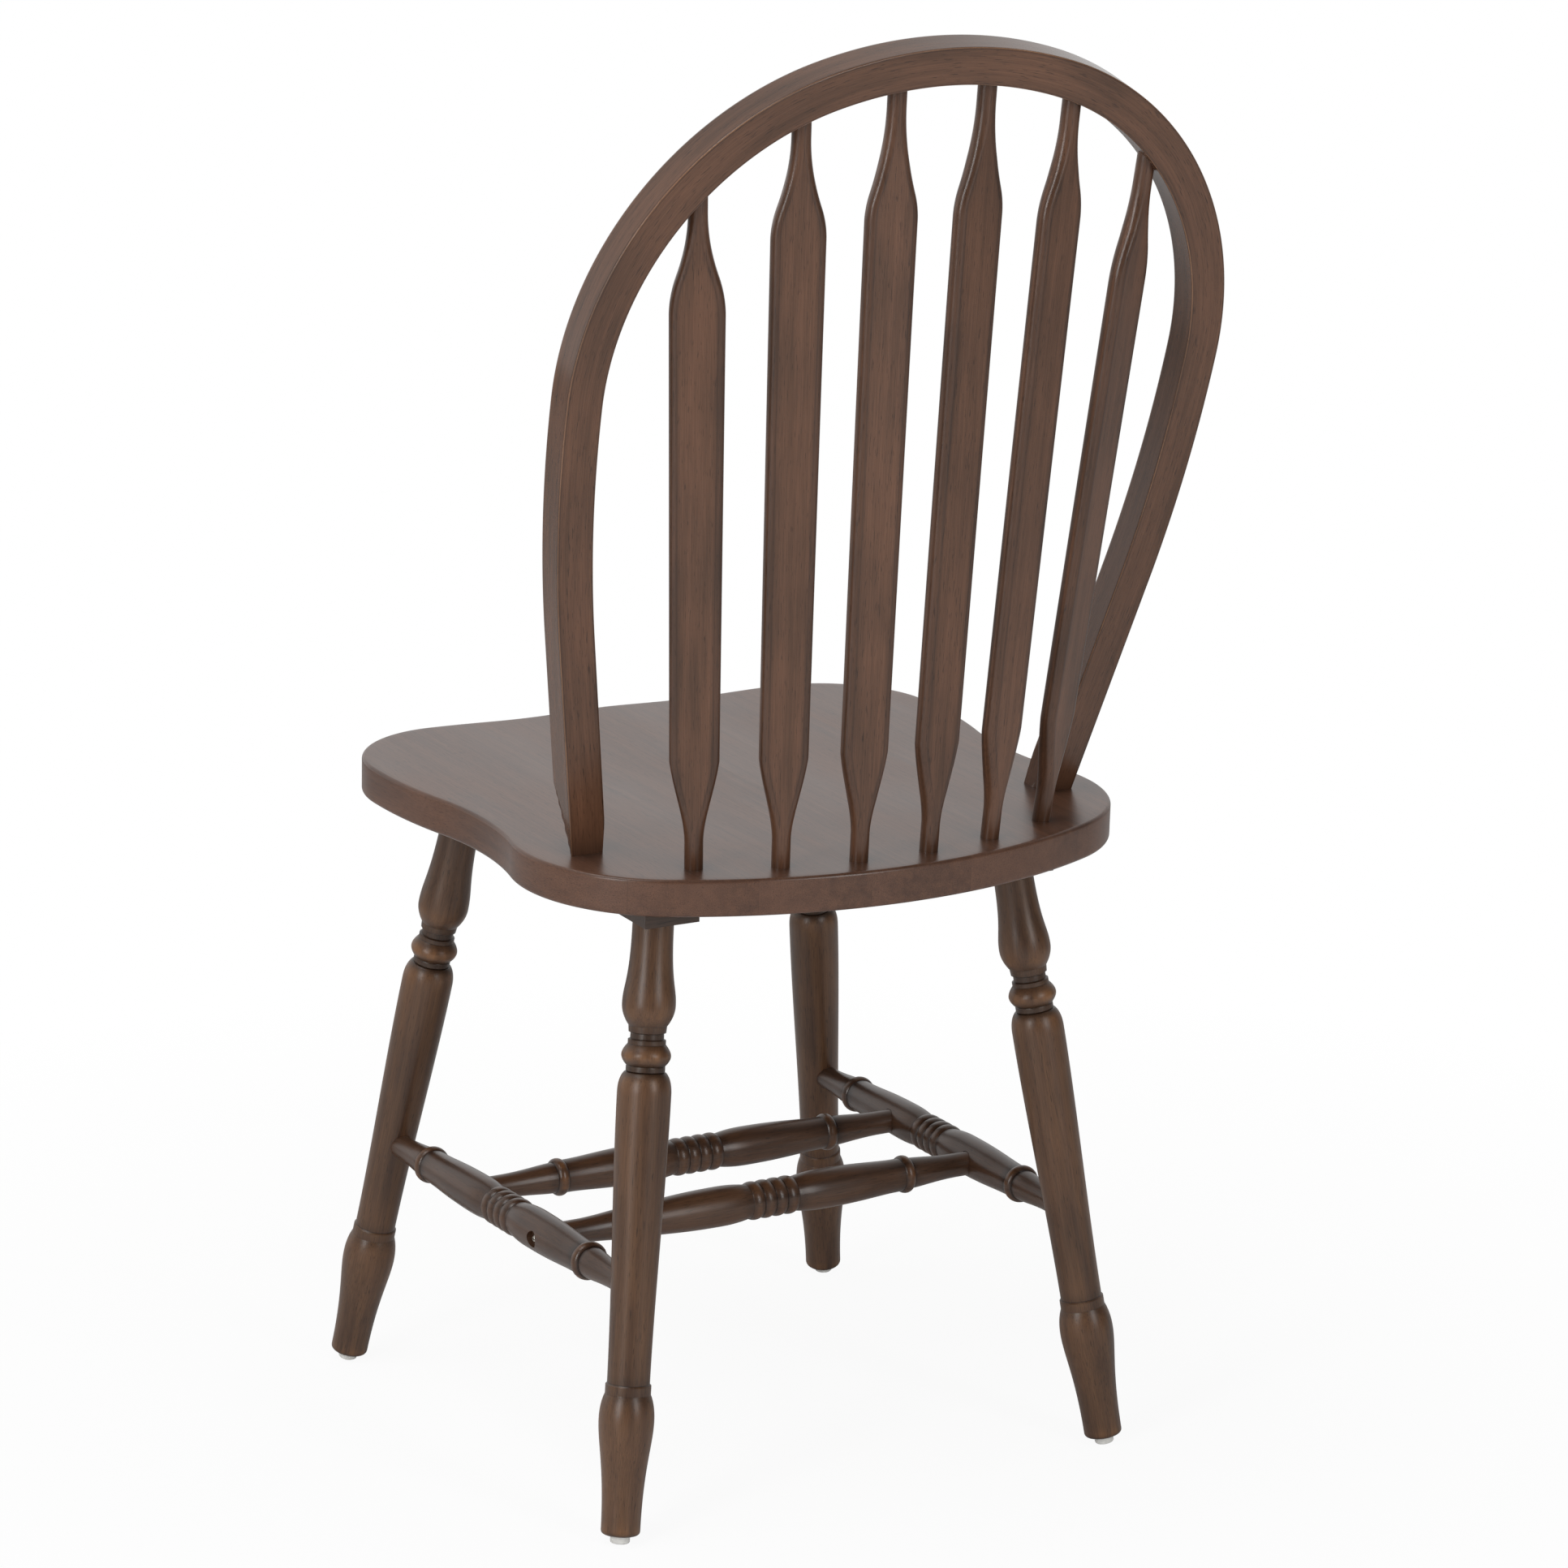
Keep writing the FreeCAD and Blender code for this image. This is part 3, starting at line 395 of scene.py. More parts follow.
# %% The seat board
SEAT_HEIGHT = 447.6
SEAT_TILT = 2.4
SEAT_THICKNESS = 24.6
SEAT_BACK_Y = 207.2
TOP_ROUND = 2.4
BOTTOM_ROUND = 2.9
SEAT_ARCS = [(352.0, 25.8), (103.2, 78.0), (234.3, -26.3), (355.7, 13.8)]
CORNER_RADIUS = 79.4
SEAT_MIDDLE = np.array([0, -12.0])
OUTLINE_STEP = 2.5
FRONT_STEPS = 23
FACE_STEPS = 41
FACE_CROWDING = 0.85
ROLL_STEPS = 8
EDGE_STEPS = 5
corner_turn = 180 - sum(turn for _, turn in SEAT_ARCS)
seat_axes = rotate_about_x(-SEAT_TILT)
seat_origin = np.array([0, 0, SEAT_HEIGHT])


def seat_point(x, y, below=0.0):
    """Point over x, y on the top of the seat, or on a face parallel to it further down."""
    tilt = math.radians(SEAT_TILT)
    return np.array([x, y, SEAT_HEIGHT - y * math.tan(tilt) - below / math.cos(tilt)])


half_arcs = [*SEAT_ARCS, (CORNER_RADIUS, corner_turn)]
half, normals, _ = arc_chain((0, SEAT_BACK_Y), half_arcs, OUTLINE_STEP)
front_x, front_y = half[-1]
straight_x = np.linspace(front_x, 0, FRONT_STEPS + 1)[1:]
half = np.vstack([half, np.column_stack([straight_x, np.full(FRONT_STEPS, front_y)])])
normals = np.vstack([normals, np.tile([0.0, -1.0], (FRONT_STEPS, 1))])
flip = np.array([-1, 1])
outline = np.vstack([half, half[-2:0:-1] * flip])
outward = np.vstack([normals, normals[-2:0:-1] * flip])
outward /= np.linalg.norm(outward, axis=1)[:, None]

rolled = np.linspace(0, np.pi / 2, ROLL_STEPS + 1)[1:]
shares = np.linspace(0, 1, FACE_STEPS + 1)[1:] ** FACE_CROWDING
loops = [SEAT_MIDDLE + (outline - TOP_ROUND * outward - SEAT_MIDDLE) * share for share in shares]
levels = [0.0] * len(loops)
loops += [outline - outward * TOP_ROUND * (1 - math.sin(angle)) for angle in rolled]
levels += [-TOP_ROUND * (1 - math.cos(angle)) for angle in rolled]
for depth in np.linspace(TOP_ROUND, SEAT_THICKNESS - BOTTOM_ROUND, EDGE_STEPS + 1)[1:]:
    loops.append(outline)
    levels.append(-depth)
for angle in rolled[::-1][1:]:
    loops.append(outline - outward * BOTTOM_ROUND * (1 - math.sin(angle)))
    levels.append(-SEAT_THICKNESS + BOTTOM_ROUND * (1 - math.cos(angle)))
for share in shares[::-3]:
    loops.append(SEAT_MIDDLE + (outline - BOTTOM_ROUND * outward - SEAT_MIDDLE) * share)
    levels.append(-SEAT_THICKNESS)
flat = np.stack(loops)
depth = np.broadcast_to(np.array(levels)[:, None], flat.shape[:2])
x, y = flat[..., 0], flat[..., 1]

# %% The dish, a dark line along the top edge and painted shade round the feet of the back
DISH_DEPTH = 1.6
DISH_X = 62.0
DISH_SPREAD = 46.0
DISH_END_Y = 30.0
DISH_FADE = 28.0
DISH_REACH = 12.0
EDGE_DEPTH = 0.9
EDGE_WIDTH = 0.7
EDGE_START = 0.05
EDGE_LINE_DARKENING = 0.3
CONTACT_SHADE_FADE = 9.0
CONTACT_SHADE_DEPTH = 1.0
CONTACT_SHADE_STRENGTH = 0.6
hollow = np.exp(-(((np.abs(x) - DISH_X) / DISH_SPREAD) ** 2))
ahead = 1 / (1 + np.exp((y - DISH_END_Y) / DISH_FADE))
upper = np.clip(1 + depth / DISH_REACH, 0, 1)
dished = depth - DISH_DEPTH * hollow * ahead * upper
local = np.dstack([x, y, dished])
seat_rings = seat_origin + local @ seat_axes
seat_grain = np.dstack([x, dished, y])
# A darker line runs just under the top edge of the seat.
edge_of_top = np.exp(-(((depth + EDGE_DEPTH) / EDGE_WIDTH) ** 2)) * (depth < -EDGE_START)
# Painted contact shade darkens the seat top round the feet of the spindles and the bow.
distances = [np.hypot(x - foot_x, y - foot_y) - reach for foot_x, foot_y, reach in back_feet]
painted_contact_shade = sum(np.exp(-distance.clip(0) / CONTACT_SHADE_FADE) for distance in distances)
painted_contact_shade = painted_contact_shade.clip(0, 1) * (depth > -CONTACT_SHADE_DEPTH)
seat_edge_line_and_shade = np.maximum(EDGE_LINE_DARKENING * edge_of_top, CONTACT_SHADE_STRENGTH * painted_contact_shade)
seat = wooden_skin("seat_surface", seat_rings, seat_grain, stain_and_shade=seat_edge_line_and_shade)
stand_for(seat, "seat", seat_wood)

# %% [markdown]
# ## The bow
# The bow is one square stick bent in a flat curve, so its surface is a rounded section carried along a
# chain of arcs. Its front corners are rounded for the sitter and its back ones are left crisp. At each
# foot it is planed away on two sides down to its round tenon. A point that lies beyond a planed face
# slides in along the section until it lies on that face.

# %% Rounded sections
def section_walk(corner, side, narrow):
    """Corner signs and normal angles for a walk round a rounded rectangle.

    On a corner the normal swings through a quarter turn, and on a side the signs run from one corner
    to the next. Points on the sides crowd up to the corners. The three numbers count the points of a
    corner, of the front or back side and of a narrow side.
    """
    quarter = np.linspace(0, np.pi / 2, corner)
    signs = [(1, 1), (-1, 1), (-1, -1), (1, -1)]
    walk = []
    for turn, (here, there) in enumerate(zip(signs, signs[1:] + signs[:1])):
        for angle in quarter:
            walk.append((*here, turn * np.pi / 2 + angle, 0))
        run = np.linspace(0, 1, side if turn % 2 == 0 else narrow)[1:-1]
        run = 0.5 - 0.5 * np.cos(np.pi * run)
        for share in run:
            sign = np.array(here) * (1 - share) + np.array(there) * share
            walk.append((*sign, (turn + 1) * np.pi / 2, 1))
    return np.array(walk).T


def rounded_section(walk, width, depth, radius):
    """Across and through coordinates of a rounded rectangle: corner centre plus radius times normal."""
    across, through, angle, _ = walk
    return (
        across * (width / 2 - radius) + radius * np.cos(angle),
        through * (depth / 2 - radius) + radius * np.sin(angle),
    )


# %% The bow with its feet and tenons
HOOP_FOOT_Y = 99.1
HOOP_LEAN = 16.3
HOOP_RISE = 523.2
HOOP_WIDTH = 24.5
HOOP_DEPTH = 23.5
HOOP_ARCS = [(275.2, 17.3), (200.3, 74.2), (971.5, 9.5)]
FRONT_ROUND = 3.0
BACK_ROUND = 1.0
RELIEF_HEIGHT = 52.0
RELIEF_WIDTH = 12.0
INNER_RELIEF_HEIGHT = 24.0
INNER_RELIEF_WIDTH = 2.6
HOOP_TENON_RADIUS = 7.9
HOOP_TENON_LENGTH = 18.0
TENON_CHAMFER = 1.0
TENON_TIP_SHARE = 0.9
BOW_STEP = 3.0
FOOT_STEP = 1.6
FOOT_MARGIN = 4.0
FOOT_PAINTED_SHADE = 0.45
FOOT_FADE = 9.0
ARRIS_PAINTED_SHADE = 0.6
FLANK_PAINTED_SHADE = 0.18
hoop_axes = rotate_about_x(90 - HOOP_LEAN)
hoop_origin = seat_point(0, HOOP_FOOT_Y)
bow, bow_out, bow_angle = arc_chain((0, HOOP_RISE), HOOP_ARCS, BOW_STEP)
down = np.array([math.cos(bow_angle), math.sin(bow_angle)])
out = np.array([-down[1], down[0]])
straight = -bow[-1, 1] / down[1]
foot = bow[-1] + down * straight

walk = section_walk(corner=7, side=9, narrow=9)
radius = np.interp(walk[1], [-1, 1], [BACK_ROUND, FRONT_ROUND])
section_out, section_front = rounded_section(walk, HOOP_WIDTH, HOOP_DEPTH, radius)
bent = bow[:, None] + bow_out[:, None] * section_out[:, None]
run_shares = np.linspace(0, 1, math.ceil(straight / FOOT_STEP))[1:]
start = bent[-1]
seat_normal = hoop_axes @ seat_axes[2]
above_seat = start @ seat_normal[:2] + (section_front + HOOP_DEPTH / 2) * seat_normal[2]
drop = above_seat / -(down @ seat_normal[:2])
ruled = start + down * drop[:, None] * run_shares[:, None, None]
plane_points = np.vstack([bent, ruled])
height = -((plane_points - foot) @ down)
beyond = (plane_points - foot) @ out
front = np.broadcast_to(section_front + HOOP_DEPTH / 2, height.shape)
outer_face = HOOP_WIDTH / 2 - RELIEF_WIDTH * (front / HOOP_DEPTH - height / RELIEF_HEIGHT)
inner_face = -HOOP_WIDTH / 2 + INNER_RELIEF_WIDTH * (1 - height / INNER_RELIEF_HEIGHT)
near_foot = height < RELIEF_HEIGHT + FOOT_MARGIN
moved = np.where(near_foot, np.clip(beyond, np.minimum(inner_face, outer_face), outer_face), beyond)
plane_points = plane_points + out * (moved - beyond)[..., None]
local = np.dstack([plane_points, front])

tenon_shift = INNER_RELIEF_WIDTH / 2 - RELIEF_WIDTH / 4
around_tenon = np.arctan2(section_front, section_out)
tenon_out = tenon_shift + HOOP_TENON_RADIUS * np.cos(around_tenon)
tenon_front = HOOP_DEPTH / 2 + HOOP_TENON_RADIUS * np.sin(around_tenon)
tenon = []
for sunk in (0.0, HOOP_TENON_LENGTH - TENON_CHAMFER, HOOP_TENON_LENGTH):
    shrink = TENON_TIP_SHARE if sunk == HOOP_TENON_LENGTH else 1.0
    flat = foot + out * (tenon_shift + (tenon_out - tenon_shift) * shrink)[:, None] + down * sunk
    tenon.append(np.column_stack([flat, HOOP_DEPTH / 2 + (tenon_front - HOOP_DEPTH / 2) * shrink]))
half_bow = np.concatenate([local, np.stack(tenon)])
left_bow = hoop_origin + half_bow @ hoop_axes
right_bow = left_bow * np.array([-1, 1, 1])
hoop_rings = np.concatenate([right_bow[::-1], left_bow[1:]])
middle_line = half_bow.mean(axis=1)
run = np.concatenate([[0], np.cumsum(np.linalg.norm(np.diff(middle_line, axis=0), axis=1))])
along = np.concatenate([-run[::-1], run[1:]])[:, None]
shape = hoop_rings.shape[:2]
hoop_grain = np.dstack([
    np.broadcast_to(section_out, shape),
    np.broadcast_to(section_front, shape),
    np.broadcast_to(along, shape),
])
# Painted shade: dark lines where the back outer arris meets the faces, darker flanks and darker feet.
back_corner = (walk[1] == -1) & (walk[3] == 0)
on_arris = np.isclose(walk[2] % (np.pi / 2), np.pi / 4)
arris_line = back_corner & np.isclose(np.sin(2 * walk[2]), 0, atol=0.01)
foot_shade = np.exp(-((run[-len(tenon) - 1] - np.abs(along)) / FOOT_FADE).clip(0))
flank = np.abs(np.cos(walk[2])) > 0.99
arris_and_flank_shade = np.maximum(ARRIS_PAINTED_SHADE * arris_line, FLANK_PAINTED_SHADE * flank)
hoop_painted_shade = np.maximum(FOOT_PAINTED_SHADE * foot_shade, arris_and_flank_shade)
# A painted highlight runs along the middle of the back outer arris.
arris_painted_highlight = back_corner & on_arris
hoop = wooden_skin("hoop_surface", hoop_rings, hoop_grain, hoop_painted_shade, arris_painted_highlight, polish=flank)
stand_for(hoop, "hoop", back_wood)

# %% [markdown]
# ## The arrow spindles
# Each spindle is sawn from a board: round necks at both ends, and a flat blade between them that
# narrows to each neck in a hollow shoulder. The surface is a rounded section whose width, thickness
# and corner radius all change with the height.

# %% Six spindles
SPINDLE_TOP_SPACING = 63.8
SPINDLE_TENON = 14.0
SPINDLE_RINGS = 380
NECK_THICKNESS = 11.9
NECK_CORNER = 5.85
NECK_LOW = 19.0
NECK_TOP = 13.0
BLADE_WIDTH = 34.4
BLADE_LOW_WIDTH = 31.5
BLADE_THICKNESS = 11.0
BLADE_CORNER = 4.7
BLADE_START = 73.0
BLADE_ENDS = [413.7, 405.9, 363.0]
SHOULDER_BENDS = [0.76, 0.68, 0.62]
TANGENT_DARK_LINE = 0.62
ROUND_EDGE_PAINTED_SHADE = 0.38
BESIDE_DARK_LINE = 0.25
NECK_EDGE_SHARE = 0.3
END_PAINTED_SHADE = 0.35
END_FADE = 7.0


def low_shoulder(share):
    """Rise from 0 at the lower neck to 1 at the blade: hollow at first, then a soft corner."""
    share = np.clip(share, 0, 1)
    return 0.55 * share**1.35 + 0.45 * (1 - np.cos(np.pi * share)) / 2


def top_shoulder(share, bend):
    """Rise from 0 at the upper neck to 1 at the blade: hollow up to the bend, convex from there."""
    share = np.clip(share, 0, 1)
    return np.where(share < bend, share**2 / bend, 1 - (1 - share) ** 2 / (1 - bend))


inner_line = bow - bow_out * HOOP_WIDTH / 2
climbing = np.concatenate([[True], np.diff(inner_line[:, 0]) > 0])
walk = section_walk(corner=9, side=11, narrow=5)
pairs = SPINDLE_COUNT // 2
for count in range(SPINDLE_COUNT):
    side = 1 if count < pairs else -1
    pair = pairs - 1 - count if count < pairs else count - pairs
    base_x = SPINDLE_SPACING * (pair + 0.5)
    base_y = spindle_foot_y(base_x)
    top_x = SPINDLE_TOP_SPACING * (pair + 0.5)
    top_y = np.interp(top_x, inner_line[climbing, 0], inner_line[climbing, 1])
    bottom = seat_point(base_x, base_y)
    top = hoop_origin + np.array([top_x, top_y, HOOP_DEPTH / 2]) @ hoop_axes
    length = np.linalg.norm(top - bottom)
    turn = math.asin(base_x / SPINDLE_ARC_RADIUS)
    up = unit(top - bottom)
    broad = np.array([math.cos(turn), -math.sin(turn), 0])
    broad = unit(broad - up * (broad @ up))
    deep = np.cross(up, broad)
    height = np.linspace(-SPINDLE_TENON, length + SPINDLE_TENON, SPINDLE_RINGS)[:, None]
    lower = low_shoulder((height - NECK_LOW) / (BLADE_START - NECK_LOW))
    fall = (length - NECK_TOP - height) / (length - NECK_TOP - BLADE_ENDS[pair])
    upper = top_shoulder(fall, SHOULDER_BENDS[pair])
    blade_share = np.clip((height - BLADE_START) / (BLADE_ENDS[pair] - BLADE_START), 0, 1)
    blade = BLADE_LOW_WIDTH + (BLADE_WIDTH - BLADE_LOW_WIDTH) * blade_share
    fullness = lower * upper
    width = SPINDLE_NECK + (blade - SPINDLE_NECK) * fullness
    thickness = NECK_THICKNESS + (BLADE_THICKNESS - NECK_THICKNESS) * fullness
    corner = NECK_CORNER + (BLADE_CORNER - NECK_CORNER) * np.clip(3 * fullness, 0, 1)
    across, through = rounded_section(walk, width, thickness, corner)
    rings = bottom + across[..., None] * broad + through[..., None] * deep + height[..., None] * up
    rings = rings * np.array([side, 1, 1])
    where = np.dstack([across, through, np.broadcast_to(height, across.shape)])
    # Painted shade on the rounded edges and near both ends, where a spindle meets the seat and the bow,
    # and a dark line where each rounded edge meets a flat face.
    tangent_line = (walk[3] == 0) & ((walk[2] % np.pi) == np.pi / 2)
    beside_line = np.roll(tangent_line, 1) | np.roll(tangent_line, -1)
    rounded_edge = walk[3] == 0
    beside = BESIDE_DARK_LINE * beside_line
    stain_and_shade_amount = np.where(tangent_line, TANGENT_DARK_LINE, np.where(rounded_edge, ROUND_EDGE_PAINTED_SHADE, beside))
    stain_and_shade_amount = stain_and_shade_amount * np.clip(2 * fullness, NECK_EDGE_SHARE, 1)
    at_ends = np.exp(-(height / END_FADE).clip(0)) + np.exp(-((length - height) / END_FADE).clip(0))
    name = f"spindle_{count + 1}"
    piece = wooden_skin(f"{name}_surface", rings, where, stain_and_shade=stain_and_shade_amount + END_PAINTED_SHADE * at_ends)
    stand_for(piece, name, back_wood)

# %% [markdown]
# ## Turned legs
# A turner cuts beads, coves and a long swelling shaft between marks along a spinning blank. The same
# marks are stations here: a height, a diameter, and two shares of the gaps to the stations before and
# after it, which say how far the curve keeps to the direction of the axis there. Stain settles where
# the profile is hollow, and is rubbed off where it stands proud.

# %% Turned profiles
TURNED_SIDES = 96
PROFILE_STEP = 0.6
CORNER_REACH = 0.2
BLUR_STEP = 0.25
BLUR_POINTS = 80
WIDE_BLUR = 4.5
FINE_BLUR = 0.8
SOFT_BLUR = 2.2
DEEP_HOLLOW = 1.9
FINE_LINE = 0.3
HIGH_BEAD = 2.6
SOFT_GAIN = 1.7
SOFT_MOST = 0.75


def turned_profile(stations):
    """Heights and radii along Bezier stretches between stations.

    A stretch is (1-t)^3 A + 3(1-t)^2 t B + 3(1-t) t^2 C + t^3 D. B and C lie along the axis from the
    ends A and D by the stations' shares of its height, or part of the way to each other at a corner.
    """
    runs = []
    for (low, low_width, _, leaving), (high, high_width, arriving, _) in zip(stations, stations[1:]):
        a = np.array([low, low_width / 2])
        d = np.array([high, high_width / 2])
        b = a + np.array([(high - low) * leaving, 0])
        c = d - np.array([(high - low) * arriving, 0])
        if not leaving and not arriving:
            b = a + (d - a) / 3
            c = d - (d - a) / 3
        elif not leaving:
            b = a + (c - a) * CORNER_REACH
        elif not arriving:
            c = d + (b - d) * CORNER_REACH
        steps = max(2, math.ceil(np.linalg.norm(d - a) / PROFILE_STEP))
        t = np.linspace(0, 1, steps + 1)[:, None]
        run = (1 - t) ** 3 * a + 3 * (1 - t) ** 2 * t * b + 3 * (1 - t) * t**2 * c + t**3 * d
        runs.append(run[:-1])
    runs.append(d[None])
    return np.vstack(runs).T


def hollows_and_beads(height, radius):
    """Dark glaze and wear from how far a profile lies inside or outside its blurred selves.

    A wide blur finds coves and beads, and a narrow one finds the fine lines between them.
    """
    even = np.arange(height[0], height[-1], BLUR_STEP)
    reach = np.arange(-BLUR_POINTS, BLUR_POINTS + 1) * BLUR_STEP

    def blurred(values, blur):
        kernel = np.exp(-0.5 * (reach / blur) ** 2)
        padded = np.pad(np.interp(even, height, values), BLUR_POINTS, mode="edge")
        return np.interp(height, even, np.convolve(padded, kernel / kernel.sum(), mode="valid"))

    wide = radius - blurred(radius, WIDE_BLUR)
    fine = radius - blurred(radius, FINE_BLUR)
    stain_and_shade_amount = np.clip(np.maximum(-wide / DEEP_HOLLOW, -fine / FINE_LINE), 0, 1)
    soft = np.clip(SOFT_GAIN * blurred(stain_and_shade_amount, SOFT_BLUR), 0, SOFT_MOST)
    return np.maximum(stain_and_shade_amount, soft), np.clip(wide / HIGH_BEAD, 0, 1) * (1 - soft)


def axes_along(start, end):
    """Two directions across an axis, then the axis."""
    up = unit(end - start)
    across = unit(np.cross([0, 0, 1] if abs(up[2]) < 0.9 else [0, 1, 0], up))
    return across, np.cross(up, across), up


def turned(name, start, end, stations):
    """A turned piece between two points, with its profile swung round the axis."""
    height, radius = turned_profile(stations)
    stain_and_shade, wear_and_highlight = hollows_and_beads(height, radius)
    angle = np.linspace(0, 2 * np.pi, TURNED_SIDES, endpoint=False)
    across, through, up = axes_along(start, end)
    u = radius[:, None] * np.cos(angle)
    v = radius[:, None] * np.sin(angle)
    w = np.broadcast_to(height[:, None], u.shape)
    rings = start + u[..., None] * across + v[..., None] * through + w[..., None] * up
    return wooden_skin(name, rings, np.dstack([u, v, w]), stain_and_shade[:, None], wear_and_highlight[:, None])


# %% Four legs
LEG_END_HEIGHT = 5.9
LEG_TENON = 13.0
LEG_TENON_WIDTH = 26.6
LEGS = {
    "front": (np.array([194.3, -238.3, 0]), seat_point(132.6, -158.5, SEAT_THICKNESS)),
    "rear": (np.array([185.6, 158.5, 0]), seat_point(131.9, 107.2, SEAT_THICKNESS)),
}
LEG_TOP_SPACE = 24.4
BULB_HEIGHT = 0.1671 * SEAT_HEIGHT
SHAFT_HEIGHT = 0.6399 * SEAT_HEIGHT
LEG_STATIONS = [
    (0.0, 19.9, 0, 0),
    (2.8, 25.5, 0.8, 0.58),
    (BULB_HEIGHT, 35.9, 0.22, 0.59),
    (BULB_HEIGHT + 16.9, 29.7, 0, 0),
    (BULB_HEIGHT + 22.9, 29.7, 0, 0),
    (BULB_HEIGHT + 23.9, 27.7, 0, 0.32),
    (SHAFT_HEIGHT, 34.9, 0.32, 0.69),
    (SHAFT_HEIGHT + 13.5, 27.0, 0, 0),
    (SHAFT_HEIGHT + 13.9, 24.4, 0, 0),
    (SHAFT_HEIGHT + 14.4, 25.3, 0, 0),
    (SHAFT_HEIGHT + 17.4, 25.3, 0, 0),
    (SHAFT_HEIGHT + 17.8, 24.9, 0, 0),
    (SHAFT_HEIGHT + 24.4, 32.0, 0.45, 0.42),
    (SHAFT_HEIGHT + 31.4, 25.0, 0, 0),
    (SHAFT_HEIGHT + 31.7, 24.5, 0, 0),
    (SHAFT_HEIGHT + 34.6, 24.5, 0, 0),
    (SHAFT_HEIGHT + 35.2, 21.8, 0, 0),
    (SHAFT_HEIGHT + 38.8, 21.6, 0, 0),
    (SHAFT_HEIGHT + 39.4, 24.2, 0, 0),
    (SHAFT_HEIGHT + 43.6, 24.9, 0, 0),
    (SHAFT_HEIGHT + 56.9, 34.5, 0.5, 0.25),
]


def mirrored(point, side):
    """A left-hand point, or its twin on the right."""
    return point * np.array([side, 1, 1])


def leg_point(end, level):
    """Point on the axis of a left leg at a height above the floor."""
    floor, top = LEGS[end]
    return floor + (top - floor) * (level / top[2])


SIDES = {"left": 1, "right": -1}
for end, (floor, top) in LEGS.items():
    start = leg_point(end, LEG_END_HEIGHT)
    finish = top + unit(top - floor) * LEG_TENON
    straight = np.linalg.norm(top - start) - LEG_TOP_SPACE
    tip = np.linalg.norm(finish - start)
    tenon = [(straight, LEG_TENON_WIDTH, 0.73, 0), (tip, LEG_TENON_WIDTH, 0, 0)]
    stations = [*LEG_STATIONS, *tenon]
    for hand, side in SIDES.items():
        name = f"leg_{end}_{hand}"
        piece = turned(f"{name}_surface", mirrored(start, side), mirrored(finish, side), stations)
        stand_for(piece, name, leg_wood)

# %% [markdown]
# ## Stretchers
# The four stretchers share one pattern of turning: four reeds in the middle, a barrel to each side, a
# ring, and a neck into the tenon. The two across are turned here from the same stations. The side ones
# keep the CAD solid's own skin, because it already has the socket for the screw, and only their loose
# triangles are joined and shaded smooth.

# %% Shared turning of the stretchers
REED_PITCH = 8.8
REED_COUNT = 4
REED_HOLLOW = 23.4
REED_CREST = 26.2
BARREL_PLACE = 22.0
BARREL_WIDTH = 27.2
RING_WIDTH = 26.0
RING_HALF = 3.9
TAPER_LENGTH = 20.0
TENON_REACH = 3.5
STRETCHER_TENON = 16.4
CROSS_RING_PLACE = 105.6
SIDE_RING_TO_END = 59.6
CROSS_STRETCHER_Y = {"front": -83.5, "rear": 23.0}
SIDE_STRETCHER_HEIGHT = {"front": 165.2, "rear": 163.8}


def stretcher_stations(half, ring_place):
    """Stations from one end of a stretcher to the other, mirrored about its middle."""
    reach = half - TENON_REACH
    reeds_end = REED_PITCH * REED_COUNT / 2
    outward = []
    for index in range(REED_COUNT // 2):
        outward.append((REED_PITCH * index, REED_HOLLOW, 0, 0))
        outward.append((REED_PITCH * (index + 0.5), REED_CREST, 0.59, 0.59))
    outward += [
        (reeds_end, REED_HOLLOW, 0, 0.09),
        (reeds_end + BARREL_PLACE, BARREL_WIDTH, 0.64, 0.55),
        (ring_place - RING_HALF, 22.6, 0.3, 0),
        (ring_place, RING_WIDTH, 0.67, 0.67),
        (ring_place + RING_HALF, 21.0, 0, 0.21),
        (half - TAPER_LENGTH, STRETCHER_TENON, 0.43, 0),
        (reach, STRETCHER_TENON, 0, 0),
    ]
    inward = [(-place, width, after, before) for place, width, before, after in outward[:0:-1]]
    return [(place + reach, width, before, after) for place, width, before, after in inward + outward]


side_ends = {end: leg_point(end, height) for end, height in SIDE_STRETCHER_HEIGHT.items()}


def side_point(y):
    """Point on the axis of the left side stretcher."""
    front_end, rear_end = side_ends["front"], side_ends["rear"]
    return front_end + (rear_end - front_end) * ((y - front_end[1]) / (rear_end[1] - front_end[1]))


# %% Two cross stretchers
for end, y in CROSS_STRETCHER_Y.items():
    left = side_point(y)
    stations = stretcher_stations(left[0], CROSS_RING_PLACE)
    start = mirrored(left, -1) + np.array([TENON_REACH, 0, 0])
    name = f"cross_stretcher_{end}"
    piece = turned(f"{name}_surface", start, left, stations)
    stand_for(piece, name, stretcher_wood)


# %% Joined copies of CAD skins
def joined_copy(node):
    """A CAD node's vertices in millimetres and its triangles, with equal corners made one."""
    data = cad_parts[node].data
    places = np.empty(len(data.vertices) * 3, np.float32)
    data.vertices.foreach_get("co", places)
    corners = np.empty(len(data.loops), np.int32)
    data.loops.foreach_get("vertex_index", corners)
    rounded = np.round(places.reshape(-1, 3) * 1e6).astype(np.int64)
    unique, inverse = np.unique(rounded, axis=0, return_inverse=True)
    triangles = inverse.ravel()[corners].reshape(-1, 3)
    a, b, c = triangles.T
    triangles = triangles[(a != b) & (b != c) & (a != c)]
    return unique / 1000.0, triangles.tolist()


